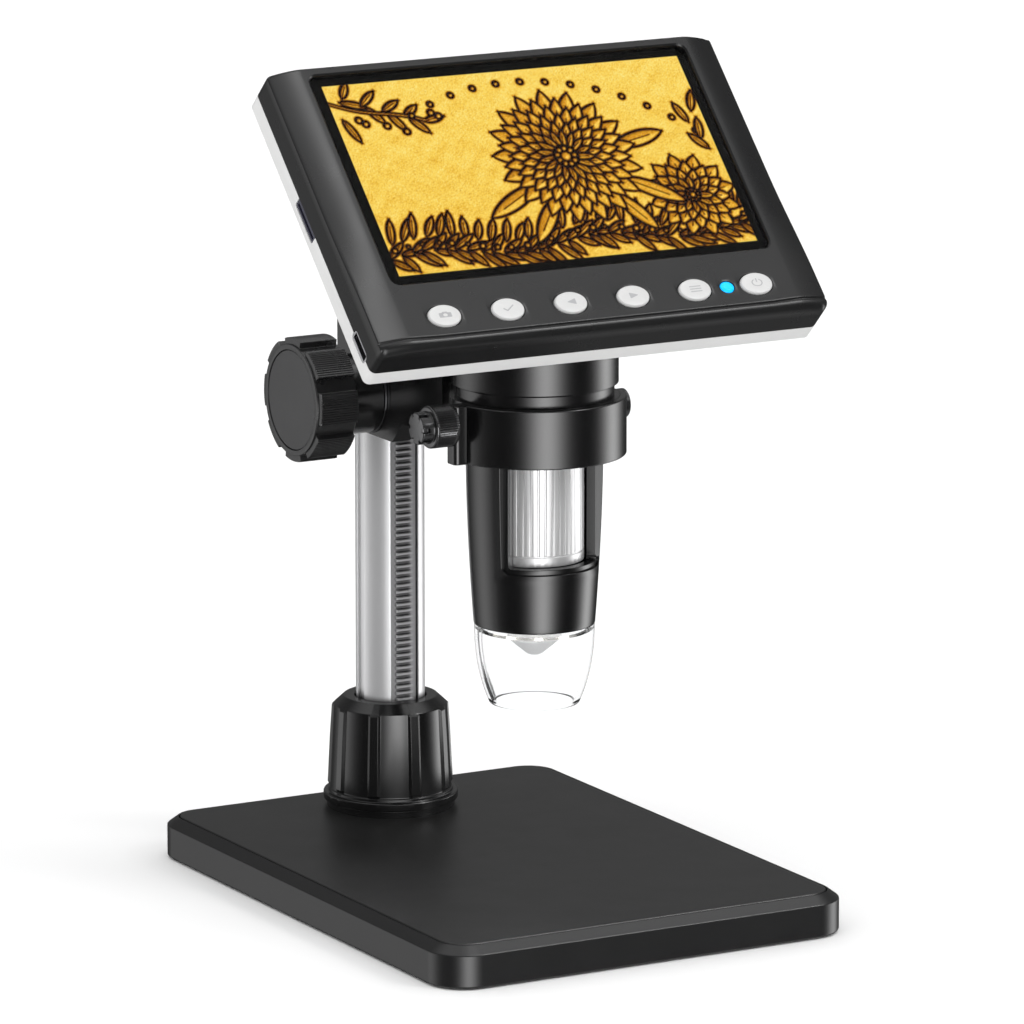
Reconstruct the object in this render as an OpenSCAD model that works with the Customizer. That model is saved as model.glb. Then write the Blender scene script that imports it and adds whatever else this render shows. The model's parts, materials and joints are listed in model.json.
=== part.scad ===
// Desk microscope with its own screen: weighted base, rack column,
// rack-and-pinion carriage, clamp ring, microscope barrel and tilted display.
// Millimetres, +Z up, the display faces -Y. The origin is the centre of the
// base's footprint on the table.

/* [Base] */
// Width of the base
base_w = 108.6; // [90:0.2:150]
// Depth of the base, front to back
base_d = 148.6; // [130:0.2:200]
// Height of the stage surface above the table
base_h = 10.3; // [9.5:0.1:16]
// Radius of the base's vertical corners
base_corner_r = 9.5; // [6:0.5:14]
// Width of the bevel round the top edge
bevel_w = 2.8; // [2:0.1:5.5]
// Height of the bevel round the top edge
bevel_h = 2.1; // [0.6:0.1:2.5]
// Wall of the base moulding
base_wall = 2.4; // [1.6:0.1:4]
// Thickness of the stage plate
stage_t = 1.5; // [1:0.1:2.5]
// Groove between stage plate and bevel
stage_gap = 0.3; // [0.1:0.05:0.6]
// Thickness of the steel ballast
ballast_t = 3.4; // [2:0.1:3.8]
// Radius of a rubber foot
foot_r = 6; // [4:0.5:10]
// Height of a rubber foot below the moulding
foot_h = 0.4; // [0.3:0.1:3]

/* [Column] */
// Radius of the column
column_r = 8.4; // [7.5:0.1:10]
// Top of the column above the stage
column_len = 160; // [150:1:200]
// Distance from the column's axis to the back edge of the stage recess
column_inset = 18; // [17:0.1:32]
// Distance between the column's axis and the microscope's axis
reach = 71.5; // [66:0.5:90]
// Module of the rack and pinion
gear_module = 0.5; // [0.4:0.01:0.6]
// Width of the rack's toothed face
rack_w = 4.2; // [3:0.1:5]
// Width of the channel that holds the rack
channel_w = 7.4; // [7:0.1:8.4]
// Wall of the socket that holds the column's foot
socket_wall = 2.1; // [1.5:0.1:3]

/* [Lock nut] */
// Radius of the nut's bottom flange
nut_flange_r = 16.4; // [16:0.1:22]
// Height of the lock nut
nut_h = 25.7; // [20:0.1:32]
// Wall of the nut at its top, outside the socket
nut_wall = 3.2; // [2.4:0.1:4.5]
// Number of grip ribs
nut_ribs = 9; // [6:1:16]

/* [Carriage] */
// Width of the carriage block
carriage_w = 23; // [22:0.5:30]
// Height of the carriage block
carriage_h = 28.6; // [24:0.1:30]
// Bottom of the carriage above the stage, at rest
carriage_up = 95.1; // [90:0.1:110]
// Thickness of the nylon liner
liner_t = 1.5; // [1:0.1:2]
// Wall behind the liner
carriage_back_wall = 2.6; // [2:0.1:4]
// Slope of the joint between carriage and arm, from level
joint_slope = 52; // [45:1:65]

/* [Focus drive] */
// Teeth of the pinion
pinion_teeth = 14; // [13:1:16]
// Radius of the focus shaft
shaft_r = 2; // [1.6:0.1:2.2]
// Radius of a focus knob
knob_r = 15; // [13:0.1:15.5]
// Length of a focus knob
knob_len = 10.8; // [8:0.1:16]
// Length of a bearing boss beside the carriage
boss_len = 8.8; // [6:0.1:14]
// Radius of a bearing boss
boss_r = 9.7; // [6:0.1:9.9]
// Number of grip lugs on a knob
knob_lugs = 8; // [6:1:12]

/* [Clamp ring] */
// Height of the clamp ring
ring_h = 13.9; // [12:0.1:18]
// Wall of the ring
ring_wall = 2; // [1.6:0.1:3]
// Thickness of the front band on the ring
band_t = 1.6; // [1:0.1:2.5]
// Half of the arc that the front band covers, in degrees
band_half_arc = 75; // [70:1:76]
// Radius of the thumbscrew's knurled head
thumb_r = 5; // [4:0.1:6]
// Length of the thumbscrew's knurled head
thumb_len = 6.2; // [4:0.1:9]

/* [Microscope barrel] */
// Radius of the barrel inside the ring
seat_r = 17.9; // [17.5:0.1:20]
// Radius of the barrel just under the ring
barrel_r = 16.1; // [15.6:0.1:16.2]
// Radius of the barrel at its bottom
barrel_end_r = 14.3; // [13.9:0.1:15.2]
// Length of the barrel below the ring
barrel_len = 40.7; // [36:0.1:52]
// Radius of the neck above the ring
neck_r = 19.7; // [19.3:0.1:22]
// Radius of the focus wheel
wheel_r = 11.7; // [11.2:0.1:12]
// Half of the arc of the wheel's window, in degrees
window_half_arc = 54.5; // [40:0.5:62]
// Bottom of the window above the barrel's end
window_up = 15.4; // [14:0.1:20]
// Length of the clear cap
cap_len = 19.2; // [14:0.1:23]
// Wall of the clear cap
cap_wall = 1.5; // [1:0.1:2]
// Number of stage lights
led_count = 8; // [4:1:10]

/* [Display] */
// Width of the display housing
disp_w = 118.4; // [116:0.2:130]
// Height of the housing above the window's centre
disp_up = 32.5; // [32.2:0.1:40]
// Height of the housing below the window's centre
disp_down = 47; // [46.5:0.1:56]
// Corner radius of the housing
disp_corner_r = 1.6; // [1:0.1:6]
// Depth of the dark front shell
bezel_depth = 9.2; // [8.8:0.1:12]
// Depth of the white rim behind the seam
cover_depth = 4.6; // [4:0.1:7]
// Further depth of the raised back
hump_depth = 5.4; // [4:0.1:9]
// Width of the screen window
window_w = 100.3; // [96:0.1:101]
// Height of the screen window
window_h = 59; // [54:0.1:59]
// Wall of the display housing
disp_wall = 2; // [1.6:0.1:2.4]
// Lean of the screen back from upright, in degrees
lean = 44.4; // [40:0.2:48]
// Height of the window's centre above the neck's foot
disp_up_z = 55.35; // [54:0.05:62]
// Distance from the microscope's axis forward to the window's centre
disp_fore = 3.1; // [2:0.1:5]
// Half the width of an oval key
key_r = 4.2; // [3.2:0.1:4.6]
// Half the height of an oval key
key_half_h = 2.95; // [2.4:0.05:3.1]
// Spacing of the keys
key_pitch = 16.5; // [14:0.1:17]
// Distance of the key row below the window's centre
key_row = 39.3; // [37.5:0.1:40.5]
// Travel of a key
key_travel = 0.5; // [0.3:0.05:0.6]

/* [Hidden] */
$fn = 72;

// Clearances
run = 0.06;       // running fit, radial
slip = 0.08;      // sliding fit, radial
snug = 0.05;      // screws and shafts in their own holes, radial
free = 0.35;      // curved faces that only pass each other
eps = 0.01;       // cuts run this far past a face
overlap = 1;      // shapes of one piece run this far into each other

// Base
rim_z = base_h - bevel_h;
plate_seat_z = base_h - stage_t;
base_roof = 1.6;
cavity_top = plate_seat_z - base_roof;
floor_t = 1.2;
floor_gap = 0.2;
floor_top = foot_h + floor_t;
stage_w = base_w - 2 * bevel_w;
stage_d = base_d - 2 * bevel_w;
stage_r = max(base_corner_r - bevel_w, 1.5);
boss_margin = 11.6;
boss_inset = base_wall + boss_margin;
base_boss_r = 4;
screw_r = 1.25;
foot_inset = boss_inset + foot_r + base_boss_r;
base_screw_len = 3.8;
ballast_r = 4;
ballast_side = 3;
base_bosses = [for (x = [-1, 1], y = [-1, 1])
    [x * (base_w / 2 - boss_inset), y * (base_d / 2 - boss_inset)]];
base_feet = [for (x = [-1, 1], y = [-1, 1])
    [x * (base_w / 2 - foot_inset), y * (base_d / 2 - foot_inset)]];
ballast_margin = boss_inset + base_boss_r + 1.5;

// Column, socket and lock nut
column_y = stage_d / 2 - column_inset;
tube_y = column_y - reach;
column_foot = plate_seat_z;
column_top = base_h + column_len;
socket_flange_t = 1.7;
socket_r = column_r + snug + socket_wall;
spigot_r = nut_flange_r;
nut_z = base_h + socket_flange_t;
nut_bore_r = socket_r + run;
nut_top_r = nut_bore_r + nut_wall;
nut_base_r = nut_top_r + 1.1;
nut_flange_t = 2;
nut_foot_h = 2.8;
nut_crown_h = 2.2;
nut_roof = 4.4;
nut_crown_r = nut_top_r - 2.4;
nut_rib_w = 2.6;
nut_rib_t = 0.6;
nut_rib_turn = 25.5;
socket_top = nut_z + nut_h - nut_roof - 0.4;
socket_flange_r = nut_flange_r - 0.8;
core_r = 2.1;
bolt_head_r = 4.2;
bolt_head_h = 3;
bolt_len = 14;
cap_disc_t = 3;
cap_plug_h = 6;

// Rack and pinion. The pitch line of the rack lies rack_line from the
// column's axis; the shaft is one pitch radius further out.
tooth_pitch = PI * gear_module;
addendum = 0.9 * gear_module;
dedendum = 1.2 * gear_module;
rack_sink = 0.8;
rack_line = column_r - rack_sink - addendum;
rack_root = rack_line - dedendum;
rack_base_t = 1.5;
channel_floor = rack_root - rack_base_t;
rack_base_w = channel_w - 0.4;
pinion_pitch_r = gear_module * pinion_teeth / 2;
pinion_tip_r = pinion_pitch_r + addendum;
pinion_root_r = pinion_pitch_r - dedendum;
pinion_w = rack_w + 1;
shaft_y = column_y - rack_line - pinion_pitch_r;
groove_w = 3.2;
groove_depth = 1;

// Carriage and arm
carriage_z = base_h + carriage_up;
carriage_top = carriage_z + carriage_h;
half_w = carriage_w / 2;
liner_in_r = column_r + slip;
liner_r = column_r + liner_t;
liner_seat_r = liner_r + snug;
carriage_back_r = max(liner_seat_r + carriage_back_wall, half_w);
shaft_z = carriage_z + boss_r + 0.5;
cheek_w = 5;
pocket_half = half_w - cheek_w;
pocket_gap = 2.4;
pocket_top = shaft_z + pinion_tip_r + pocket_gap;
pocket_front = shaft_y - pinion_tip_r - pocket_gap;
joint_y = shaft_y - pinion_tip_r - 3.45;
joint_run = 1 / tan(joint_slope);
joint_top_y = joint_y - carriage_h * joint_run;
ring_lift = 5.3;
ring_z = carriage_z + ring_lift;
ring_top = ring_z + ring_h;
ring_in_r = seat_r + slip;
ring_r = ring_in_r + ring_wall;
band_r = ring_r + band_t;
lip_h = 1.5;
lip_r = barrel_r + free;
nose_len = 4.5;
slope_y = joint_y - nose_len - (ring_z - carriage_z);
arm_shoulder_y = tube_y + ring_r + 4;
arm_neck_half = half_w - 2;
arm_front_top = ring_top + 3;
arm_screw_r = 1.5;
arm_screw_head_r = 2.75;
arm_screw_head_h = 3;
arm_screw_x = half_w - 4.5;
arm_screw_back = 6.5;
arm_screw_y = joint_top_y + arm_screw_back;
arm_screw_len = 14;
screw_end = 0.5;
hex_depth = 1.6;
hex_r = 1.45;
lug_t = 4.1;
lug_out = band_r + 2.5;
lug_y = tube_y - 3.2;
thumb_z = ring_top - thumb_r + 0.5;
thumb_shank_r = 1.5;
stub_r = thumb_r * 0.76;
stub_len = 3;
side_screw_r = 3.5;
side_screw_len = 4;

// Focus drive
washer_t = 0.6;
washer_r = boss_r + 0.2;
boss_x = half_w + washer_t;
knob_x = boss_x + boss_len + 0.7;
knob_end = knob_x + knob_len;
knob_groove = 2.1;
knob_cap_r = knob_r - 3;
knob_cap_t = 1.2;
shaft_half = knob_end - knob_cap_t - 1;

// Barrel
barrel_end = ring_z - barrel_len;
barrel_wall = 2.3;
wheel_seat_r = wheel_r + slip;
window_z = barrel_end + window_up;
wheel_top = ring_z - 0.4;
wheel_h = wheel_top - window_z;
wheel_band = 2.5;
wheel_bore_r = wheel_r - 2.8;
carrier_r = wheel_bore_r - slip;
carrier_wall = 1.6;
carrier_drop = 9.4;
carrier_z = window_z - carrier_drop;
carrier_len = 24;
shelf_t = 2.4;
shelf_hole_r = carrier_r + free;
lower_bore_r = shelf_hole_r + 1.9;
led_board_t = 1.2;
spigot_t = 1.3;
led_seat_r = barrel_end_r - barrel_wall;
led_z = barrel_end + spigot_t + 0.1;
led_ring_r = led_seat_r - 2.7;
led_r = 1;
cone_r = 6.4;
cone_tip_r = 1.9;
cone_len = 5.6;
window_step = 1.2;
window_step_depth = 1;
neck_foot_h = 3.05;
neck_foot_r = neck_r - 1;
neck_wall = 2.2;
upper_bore_r = wheel_bore_r + 0.6;
sensor_board_r = neck_foot_r - neck_wall - 0.4;
sensor_board_t = 1.6;
sensor_w = 8;
sensor_t = 1.4;
lens_t = 2.2;

// Display. Its frame has X across, Y up the screen and Z out of the screen.
disp_h = disp_up + disp_down;
disp_mid = (disp_up - disp_down) / 2;
disp_y = tube_y - disp_fore;
disp_z = ring_top + disp_up_z;
front_t = 2;
glass_sink = 1.06;
glass_t = front_t - glass_sink;
side_slope_w = (disp_w - window_w) / 2 - 1.5;
side_slope_h = 2.2;
slope_end = -window_h / 2 + 2.5;
seam = -bezel_depth;
rim_back = seam - cover_depth;
hump_back = rim_back - hump_depth;
hump_low = -30.5;
hump_high = 3;
hump_inset = 3;
hump_slope = 2;
hump_corner_r = 6;
cavity_corner_r = 1;
hump_w = disp_w - 2 * hump_inset;
hump_h = hump_high - hump_low;
hump_mid = (hump_high + hump_low) / 2;
back_t = 1.8;
panel_w = window_w + 4;
panel_h = disp_up + window_h / 2 - 1.2;
panel_mid = (disp_up - disp_wall - 0.2) - panel_h / 2;
panel_t = 3;
panel_back = -front_t - panel_t;
board_t = 1.6;
post_r = 2.3;
board_gap = 3.45;
board_w = disp_w - 2 * (disp_wall + 2 * post_r + board_gap);
board_trim = 5;
board_h = window_h - board_trim;
board_front = seam + 1.6;
board_back = board_front - board_t;
cover_screw_r = 1;
board_post_in = 6;
board_posts = [for (x = [-1, 1], y = [-1, 1])
    [x * (board_w / 2 - board_post_in), y * (board_h / 2 - board_post_in)]];
key_x0 = 0.57;
key_proud = 0.6;
key_flange_r = key_r + 0.7;
key_flange_t = 0.9;
key_gap = 0.15;
switch_w = 4.5;
switch_t = 1.6;
switch_top = -front_t - key_flange_t - key_travel - 0.15;
key_board_front = switch_top - switch_t;
key_board_t = 1.2;
key_board_h = 9.2;
key_board_margin = 6;
key_board_w = 5 * key_pitch + 2 * key_board_margin;
key_names = [0, 1, 2, 3, 4, 5];
light_r = 1.8;
light_x = key_x0 + 2 * key_pitch + 0.5;
usb_w = 7.8;
usb_t = 2.8;
usb_len = 5.4;
usb_y = -39.4;
card_w = 11;
card_t = 2.4;
card_len = 15;
card_y = -3.3;
post_sink = 0.5;
wall_in = max(disp_w / 2 - disp_wall, panel_w / 2 + 0.2);
post_x = wall_in - post_r + post_sink;
post_high = disp_up - disp_wall - post_r + post_sink;
post_low = usb_y + usb_w / 2 + post_r + 0.7;
post_front = panel_back - 0.3;
posts = [for (x = [-1, 1], y = [post_low, post_high]) [x * post_x, y]];

// ---------- shared shapes ----------

// Rectangle with round corners, centred
module round_rect(w, d, r) {
    square([w, d - 2 * r], center = true);
    square([w - 2 * r, d], center = true);
    for (x = [-1, 1], y = [-1, 1])
        translate([x * (w / 2 - r), y * (d / 2 - r)]) circle(r);
}

// Upright slab with round corners from z0 to z1
module slab(w, d, r, z0, z1) {
    translate([0, 0, z0]) linear_extrude(z1 - z0) round_rect(w, d, r);
}

// Slab whose outline shrinks by c all round from z0 to z1
module bevel_slab(w, d, r, c, z0, z1) {
    h = z1 - z0;
    for (x = [-1, 1], y = [-1, 1])
        translate([x * (w / 2 - r), y * (d / 2 - r), z0]) cylinder(h = h, r1 = r, r2 = r - c);
    translate([0, d / 2 - r, z0]) rotate([90, 0, 0]) linear_extrude(d - 2 * r)
        polygon([[-w / 2, 0], [w / 2, 0], [w / 2 - c, h], [c - w / 2, h]]);
    translate([r - w / 2, 0, z0]) rotate([90, 0, 90]) linear_extrude(w - 2 * r)
        polygon([[-d / 2, 0], [d / 2, 0], [d / 2 - c, h], [c - d / 2, h]]);
}

// Cylinder from z0 to z1
module disc(r, z0, z1) {
    translate([0, 0, z0]) cylinder(h = z1 - z0, r = r);
}

// Oval bar of half width a and half height b: two wide arcs, and two end arcs that meet them smoothly
module oval(a, b, z0, z1) {
    end_r = 0.75 * b;
    end_x = a - end_r;
    wide_r = (end_x * end_x + b * b - end_r * end_r) / (2 * (b - end_r));
    meet_x = end_x * wide_r / (wide_r - end_r);
    translate([0, 0, z0]) linear_extrude(z1 - z0) {
        intersection() {
            translate([0, wide_r - b]) circle(wide_r);
            translate([0, b - wide_r]) circle(wide_r);
            square([2 * meet_x, 2 * b + 1], center = true);
        }
        for (s = [-1, 1]) translate([s * end_x, 0]) circle(end_r);
    }
}

// Cylinder along X from x0 to x1
module rod_x(r, x0, x1) {
    translate([x0, 0, 0]) rotate([0, 90, 0]) cylinder(h = x1 - x0, r = r);
}

// Solid that fills z0 to z1 within half degrees of the -Y direction
module front_sector(r, half, z0, z1) {
    translate([0, 0, z0]) linear_extrude(z1 - z0)
        polygon(concat([[0, 0]], [for (i = [0:12])
            let (a = -90 - half + i * half / 6) [r * cos(a), r * sin(a)]]));
}

// Places its children in the display's frame
module on_screen() {
    translate([0, disp_y, disp_z]) rotate([90 - lean, 0, 0]) children();
}

// Places its children on the column's axis or on the microscope's axis
module on_column() {
    translate([0, column_y, 0]) children();
}

module on_tube() {
    translate([0, tube_y, 0]) children();
}

// Places its children on the focus shaft's axis
module on_shaft() {
    translate([0, shaft_y, shaft_z]) children();
}

// ---------- base ----------

module base_shell() color([0.06, 0.06, 0.065]) {
    difference() {
        union() {
            slab(base_w, base_d, base_corner_r, foot_h, rim_z);
            bevel_slab(base_w, base_d, base_corner_r, bevel_w, rim_z, base_h);
        }
        slab(stage_w, stage_d, stage_r, plate_seat_z, base_h + eps);
        difference() {
            slab(base_w - 2 * base_wall, base_d - 2 * base_wall,
                base_corner_r - base_wall, foot_h - eps, cavity_top);
            for (p = base_bosses) translate(p) disc(base_boss_r, floor_top, cavity_top);
        }
        for (p = base_bosses) translate(p) disc(screw_r + snug, floor_top - eps,
            floor_top + base_screw_len + 0.2);
        on_column() disc(core_r + 0.3, cavity_top - eps, plate_seat_z + eps);
    }
}

module stage_plate() color([0.05, 0.05, 0.055]) {
    difference() {
        slab(stage_w - 2 * stage_gap, stage_d - 2 * stage_gap, stage_r - stage_gap,
            plate_seat_z, base_h);
        on_column() disc(spigot_r + snug, plate_seat_z - eps, base_h + eps);
    }
}

module floor_plate() color([0.1, 0.1, 0.1]) {
    inset = 2 * (base_wall + floor_gap);
    difference() {
        slab(base_w - inset, base_d - inset, base_corner_r - base_wall, foot_h, floor_top);
        for (p = base_bosses) translate(p) {
            disc(screw_r + 1.65, foot_h - eps, floor_top - 0.3);
            disc(screw_r + 0.15, foot_h, floor_top + eps);
        }
    }
}

module ballast() color([0.5, 0.5, 0.52]) {
    difference() {
        slab(base_w - 2 * ballast_margin, base_d - 2 * (base_wall + ballast_side), ballast_r,
            floor_top, floor_top + ballast_t);
        on_column() disc(bolt_head_r + 1.5, floor_top - eps, floor_top + ballast_t + eps);
    }
}

module base_screws() color([0.7, 0.7, 0.72]) {
    for (p = base_bosses) translate(p) {
        disc(screw_r + 1.55, foot_h, floor_top - 0.3);
        disc(screw_r, foot_h, floor_top + base_screw_len);
    }
}

module rubber_feet() color([0.08, 0.08, 0.08]) {
    for (p = base_feet) translate(p) disc(foot_r, 0, foot_h);
}

// ---------- column ----------

module column_socket() color([0.07, 0.07, 0.075]) {
    on_column() difference() {
        union() {
            disc(spigot_r, plate_seat_z, base_h);
            disc(socket_flange_r, base_h, nut_z);
            disc(socket_r, nut_z, socket_top);
        }
        disc(column_r + snug, plate_seat_z - eps, socket_top + eps);
    }
}

module column_bolt() color([0.7, 0.7, 0.72]) {
    on_column() difference() {
        union() {
            disc(bolt_head_r, cavity_top - bolt_head_h, cavity_top);
            disc(core_r - snug, cavity_top, cavity_top + bolt_len);
        }
        translate([0, 0, cavity_top - bolt_head_h - eps]) cylinder(h = 2, r = 2.3, $fn = 6);
    }
}

// Column's section: round bar with a front channel and two side grooves
module column_section() {
    difference() {
        circle(column_r);
        circle(core_r);
        translate([0, -channel_floor - column_r]) square([channel_w, 2 * column_r], center = true);
        for (s = [-1, 1]) translate([s * column_r, 0])
            square([2 * groove_depth, groove_w], center = true);
    }
}

module column() color([0.78, 0.79, 0.8]) {
    on_column() translate([0, 0, column_foot])
        linear_extrude(column_top - column_foot) column_section();
}

// One rack tooth seen from the side: tip towards -Y, centred on z = 0
module rack_tooth() {
    root = tooth_pitch * 0.33;
    tip = tooth_pitch * 0.14;
    rotate([90, 0, 90]) translate([0, 0, -rack_w / 2]) linear_extrude(rack_w)
        polygon([[-rack_root, -root], [-rack_root, root],
            [-rack_line - addendum, tip], [-rack_line - addendum, -tip]]);
}

// The teeth are counted from the shaft's height, so that a gap faces the pinion
rack_low = ceil((column_foot + 4 - shaft_z) / tooth_pitch);
rack_high = floor((column_top - 2 - shaft_z) / tooth_pitch) - 1;

module gear_rack() color([0.6, 0.61, 0.62]) {
    on_column() {
        translate([-rack_base_w / 2, -rack_root, column_foot])
            cube([rack_base_w, rack_base_t, column_top - column_foot]);
        for (i = [rack_low:rack_high])
            translate([0, 0, shaft_z + (i + 0.5) * tooth_pitch]) rack_tooth();
    }
}

module column_cap() color([0.07, 0.07, 0.075]) {
    on_column() {
        disc(column_r, column_top, column_top + cap_disc_t);
        disc(core_r - snug, column_top - cap_plug_h, column_top);
    }
}

module lock_nut() color([0.05, 0.05, 0.055]) {
    top = nut_z + nut_h;
    body_z = nut_z + nut_foot_h;
    body_top = top - nut_crown_h;
    on_column() difference() {
        union() {
            disc(nut_flange_r, nut_z, nut_z + nut_flange_t);
            disc(nut_base_r + 0.3, nut_z, body_z);
            translate([0, 0, body_z]) cylinder(h = body_top - body_z, r1 = nut_base_r, r2 = nut_top_r);
            translate([0, 0, body_top]) cylinder(h = nut_crown_h, r1 = nut_top_r, r2 = nut_crown_r);
            for (i = [0:nut_ribs - 1]) rotate(i * 360 / nut_ribs + nut_rib_turn)
                translate([0, 0, body_z]) rotate([90, 0, 0]) linear_extrude(nut_rib_w, center = true)
                    polygon([[nut_bore_r + 1, -0.6], [nut_base_r + nut_rib_t, -0.6],
                        [nut_top_r + nut_rib_t, body_top - body_z - 0.5],
                        [nut_bore_r + 1, body_top - body_z - 0.5]]);
        }
        disc(nut_bore_r, nut_z - eps, top - nut_roof);
        disc(column_r + free, nut_z, top + eps);
    }
}

// ---------- carriage, arm and ring ----------

// Side view of the block behind the sloping joint, in Y and Z
module carriage_side() {
    polygon([[column_y, carriage_z], [joint_y, carriage_z],
        [joint_top_y, carriage_top], [column_y, carriage_top]]);
}

// Pocket for the pinion, open below
module pinion_pocket() {
    translate([-pocket_half, pocket_front, carriage_z - eps])
        cube([2 * pocket_half, column_y - pocket_gap - pocket_front, pocket_top - carriage_z]);
    translate([-pocket_half, slope_y - overlap, carriage_z - eps])
        cube([2 * pocket_half, pocket_front - slope_y + 2 * overlap, ring_z - carriage_z + eps]);
}

module carriage() color([0.05, 0.05, 0.055]) {
    difference() {
        union() {
            on_column() intersection() {
                disc(carriage_back_r, carriage_z, carriage_top);
                translate([-half_w, -carriage_back_r, carriage_z])
                    cube([carriage_w, 2 * carriage_back_r, carriage_h]);
            }
            translate([-half_w, 0, 0]) rotate([90, 0, 90]) linear_extrude(carriage_w) carriage_side();
        }
        on_column() disc(liner_seat_r, carriage_z - eps, carriage_top + eps);
        pinion_pocket();
        on_shaft() rod_x(shaft_r + run, -half_w - eps, half_w + eps);
        arm_screw_holes();
    }
}

module slide_liner() color([0.85, 0.85, 0.82]) {
    difference() {
        on_column() disc(liner_r, carriage_z, carriage_top);
        on_column() disc(liner_in_r, carriage_z - eps, carriage_top + eps);
        pinion_pocket();
    }
}

module arm_screw_holes() {
    for (s = [-1, 1]) translate([s * arm_screw_x, arm_screw_y, 0]) {
        disc(arm_screw_head_r + 0.2, carriage_top - arm_screw_head_h, carriage_top + eps);
        disc(arm_screw_r + snug, carriage_top - arm_screw_head_h - arm_screw_len, carriage_top);
    }
}

module arm_screws() color([0.3, 0.3, 0.32]) {
    head_z = carriage_top - arm_screw_head_h;
    for (s = [-1, 1]) translate([s * arm_screw_x, arm_screw_y, 0]) difference() {
        union() {
            disc(arm_screw_head_r, head_z, carriage_top);
            disc(arm_screw_r, head_z - arm_screw_len + screw_end, head_z);
        }
        translate([0, 0, carriage_top - hex_depth]) cylinder(h = 2 * hex_depth, r = hex_r, $fn = 6);
    }
}

module carriage_arm() color([0.05, 0.05, 0.055]) {
    difference() {
        union() {
            translate([-half_w, 0, 0]) rotate([90, 0, 90]) linear_extrude(carriage_w)
                polygon([[joint_y, carriage_z], [joint_y - nose_len, carriage_z],
                    [slope_y, ring_z], [arm_shoulder_y, ring_z],
                    [arm_shoulder_y, arm_front_top], [joint_top_y, carriage_top]]);
            translate([-arm_neck_half, tube_y, ring_z])
                cube([2 * arm_neck_half, arm_shoulder_y - tube_y + overlap, ring_h]);
            on_tube() disc(ring_r, ring_z, ring_top);
        }
        on_tube() disc(ring_in_r, ring_z + lip_h, ring_top + eps);
        on_tube() disc(lip_r, ring_z - eps, ring_top);
        pinion_pocket();
        arm_screw_holes();
        translate([0, lug_y, thumb_z]) rod_x(thumb_shank_r + run, -lug_out, 0);
        translate([0, tube_y, thumb_z]) rod_x(thumb_shank_r + run, 0, lug_out);
    }
}

module clamp_band() color([0.05, 0.05, 0.055]) {
    difference() {
        union() {
            intersection() {
                on_tube() disc(band_r, ring_z, ring_top);
                union() {
                    on_tube() front_sector(2 * band_r, band_half_arc, ring_z - eps, ring_top + eps);
                    translate([-lug_out, lug_y - lug_t, ring_z]) cube([ring_r, 1.5 * lug_t, ring_h]);
                }
            }
            translate([-lug_out, lug_y - lug_t / 2, ring_z]) cube([lug_out - seat_r, lug_t, ring_h]);
        }
        on_tube() disc(ring_r + snug, ring_z - eps, ring_top + eps);
        translate([0, lug_y, thumb_z]) rod_x(thumb_shank_r + run, -lug_out - eps, 0);
        translate([0, tube_y, thumb_z]) rod_x(side_screw_r + free, 0, lug_out);
    }
}

module bearing_washers() color([0.8, 0.8, 0.8]) {
    on_shaft() for (s = [0, 1]) mirror([s, 0, 0]) difference() {
        rod_x(washer_r, half_w, boss_x);
        rod_x(shaft_r + run, half_w - eps, boss_x + eps);
    }
}

module bearing_bosses() color([0.05, 0.05, 0.055]) {
    on_shaft() for (s = [0, 1]) mirror([s, 0, 0]) difference() {
        rod_x(boss_r, boss_x, boss_x + boss_len);
        rod_x(shaft_r + run, boss_x - eps, boss_x + boss_len + eps);
    }
}

module thumbscrew() color([0.12, 0.12, 0.13]) {
    translate([0, lug_y, thumb_z]) difference() {
        union() {
            rod_x(thumb_shank_r, -lug_out, -ring_in_r - 0.15);
            rod_x(thumb_r, -lug_out - thumb_len, -lug_out);
            rod_x(stub_r, -lug_out - thumb_len - stub_len, -lug_out - thumb_len);
        }
        for (i = [0:5]) rotate([i * 60, 0, 0])
            translate([-lug_out - thumb_len - stub_len - eps, stub_r - 0.9, -0.6])
                cube([1.6, 2, 1.2]);
    }
}

module side_screw() color([0.12, 0.12, 0.13]) {
    translate([0, tube_y, thumb_z]) difference() {
        union() {
            rod_x(thumb_shank_r, ring_in_r + 0.15, ring_r + 0.3);
            rod_x(side_screw_r, ring_r + 0.1, ring_r + 0.1 + side_screw_len);
        }
        translate([ring_r + side_screw_len - 0.7, -0.5, -2.2]) cube([2, 1, 4.4]);
    }
}

// ---------- focus drive ----------

module focus_shaft() color([0.75, 0.75, 0.77]) {
    on_shaft() rod_x(shaft_r, -shaft_half, shaft_half);
}

// Pinion section in Y and Z: the teeth are cut so that one points at the rack
module pinion_section() {
    root = tooth_pitch * 0.33;
    tip = tooth_pitch * 0.14;
    circle(pinion_root_r);
    for (i = [0:pinion_teeth - 1]) rotate(i * 360 / pinion_teeth)
        polygon([[pinion_root_r - 0.3, -root], [pinion_tip_r, -tip],
            [pinion_tip_r, tip], [pinion_root_r - 0.3, root]]);
}

module pinion() color([0.8, 0.68, 0.35]) {
    on_shaft() rotate([90, 0, 90]) translate([0, 0, -pinion_w / 2]) difference() {
        linear_extrude(pinion_w) pinion_section();
        disc(shaft_r + snug, -eps, pinion_w + eps);
    }
}

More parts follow.
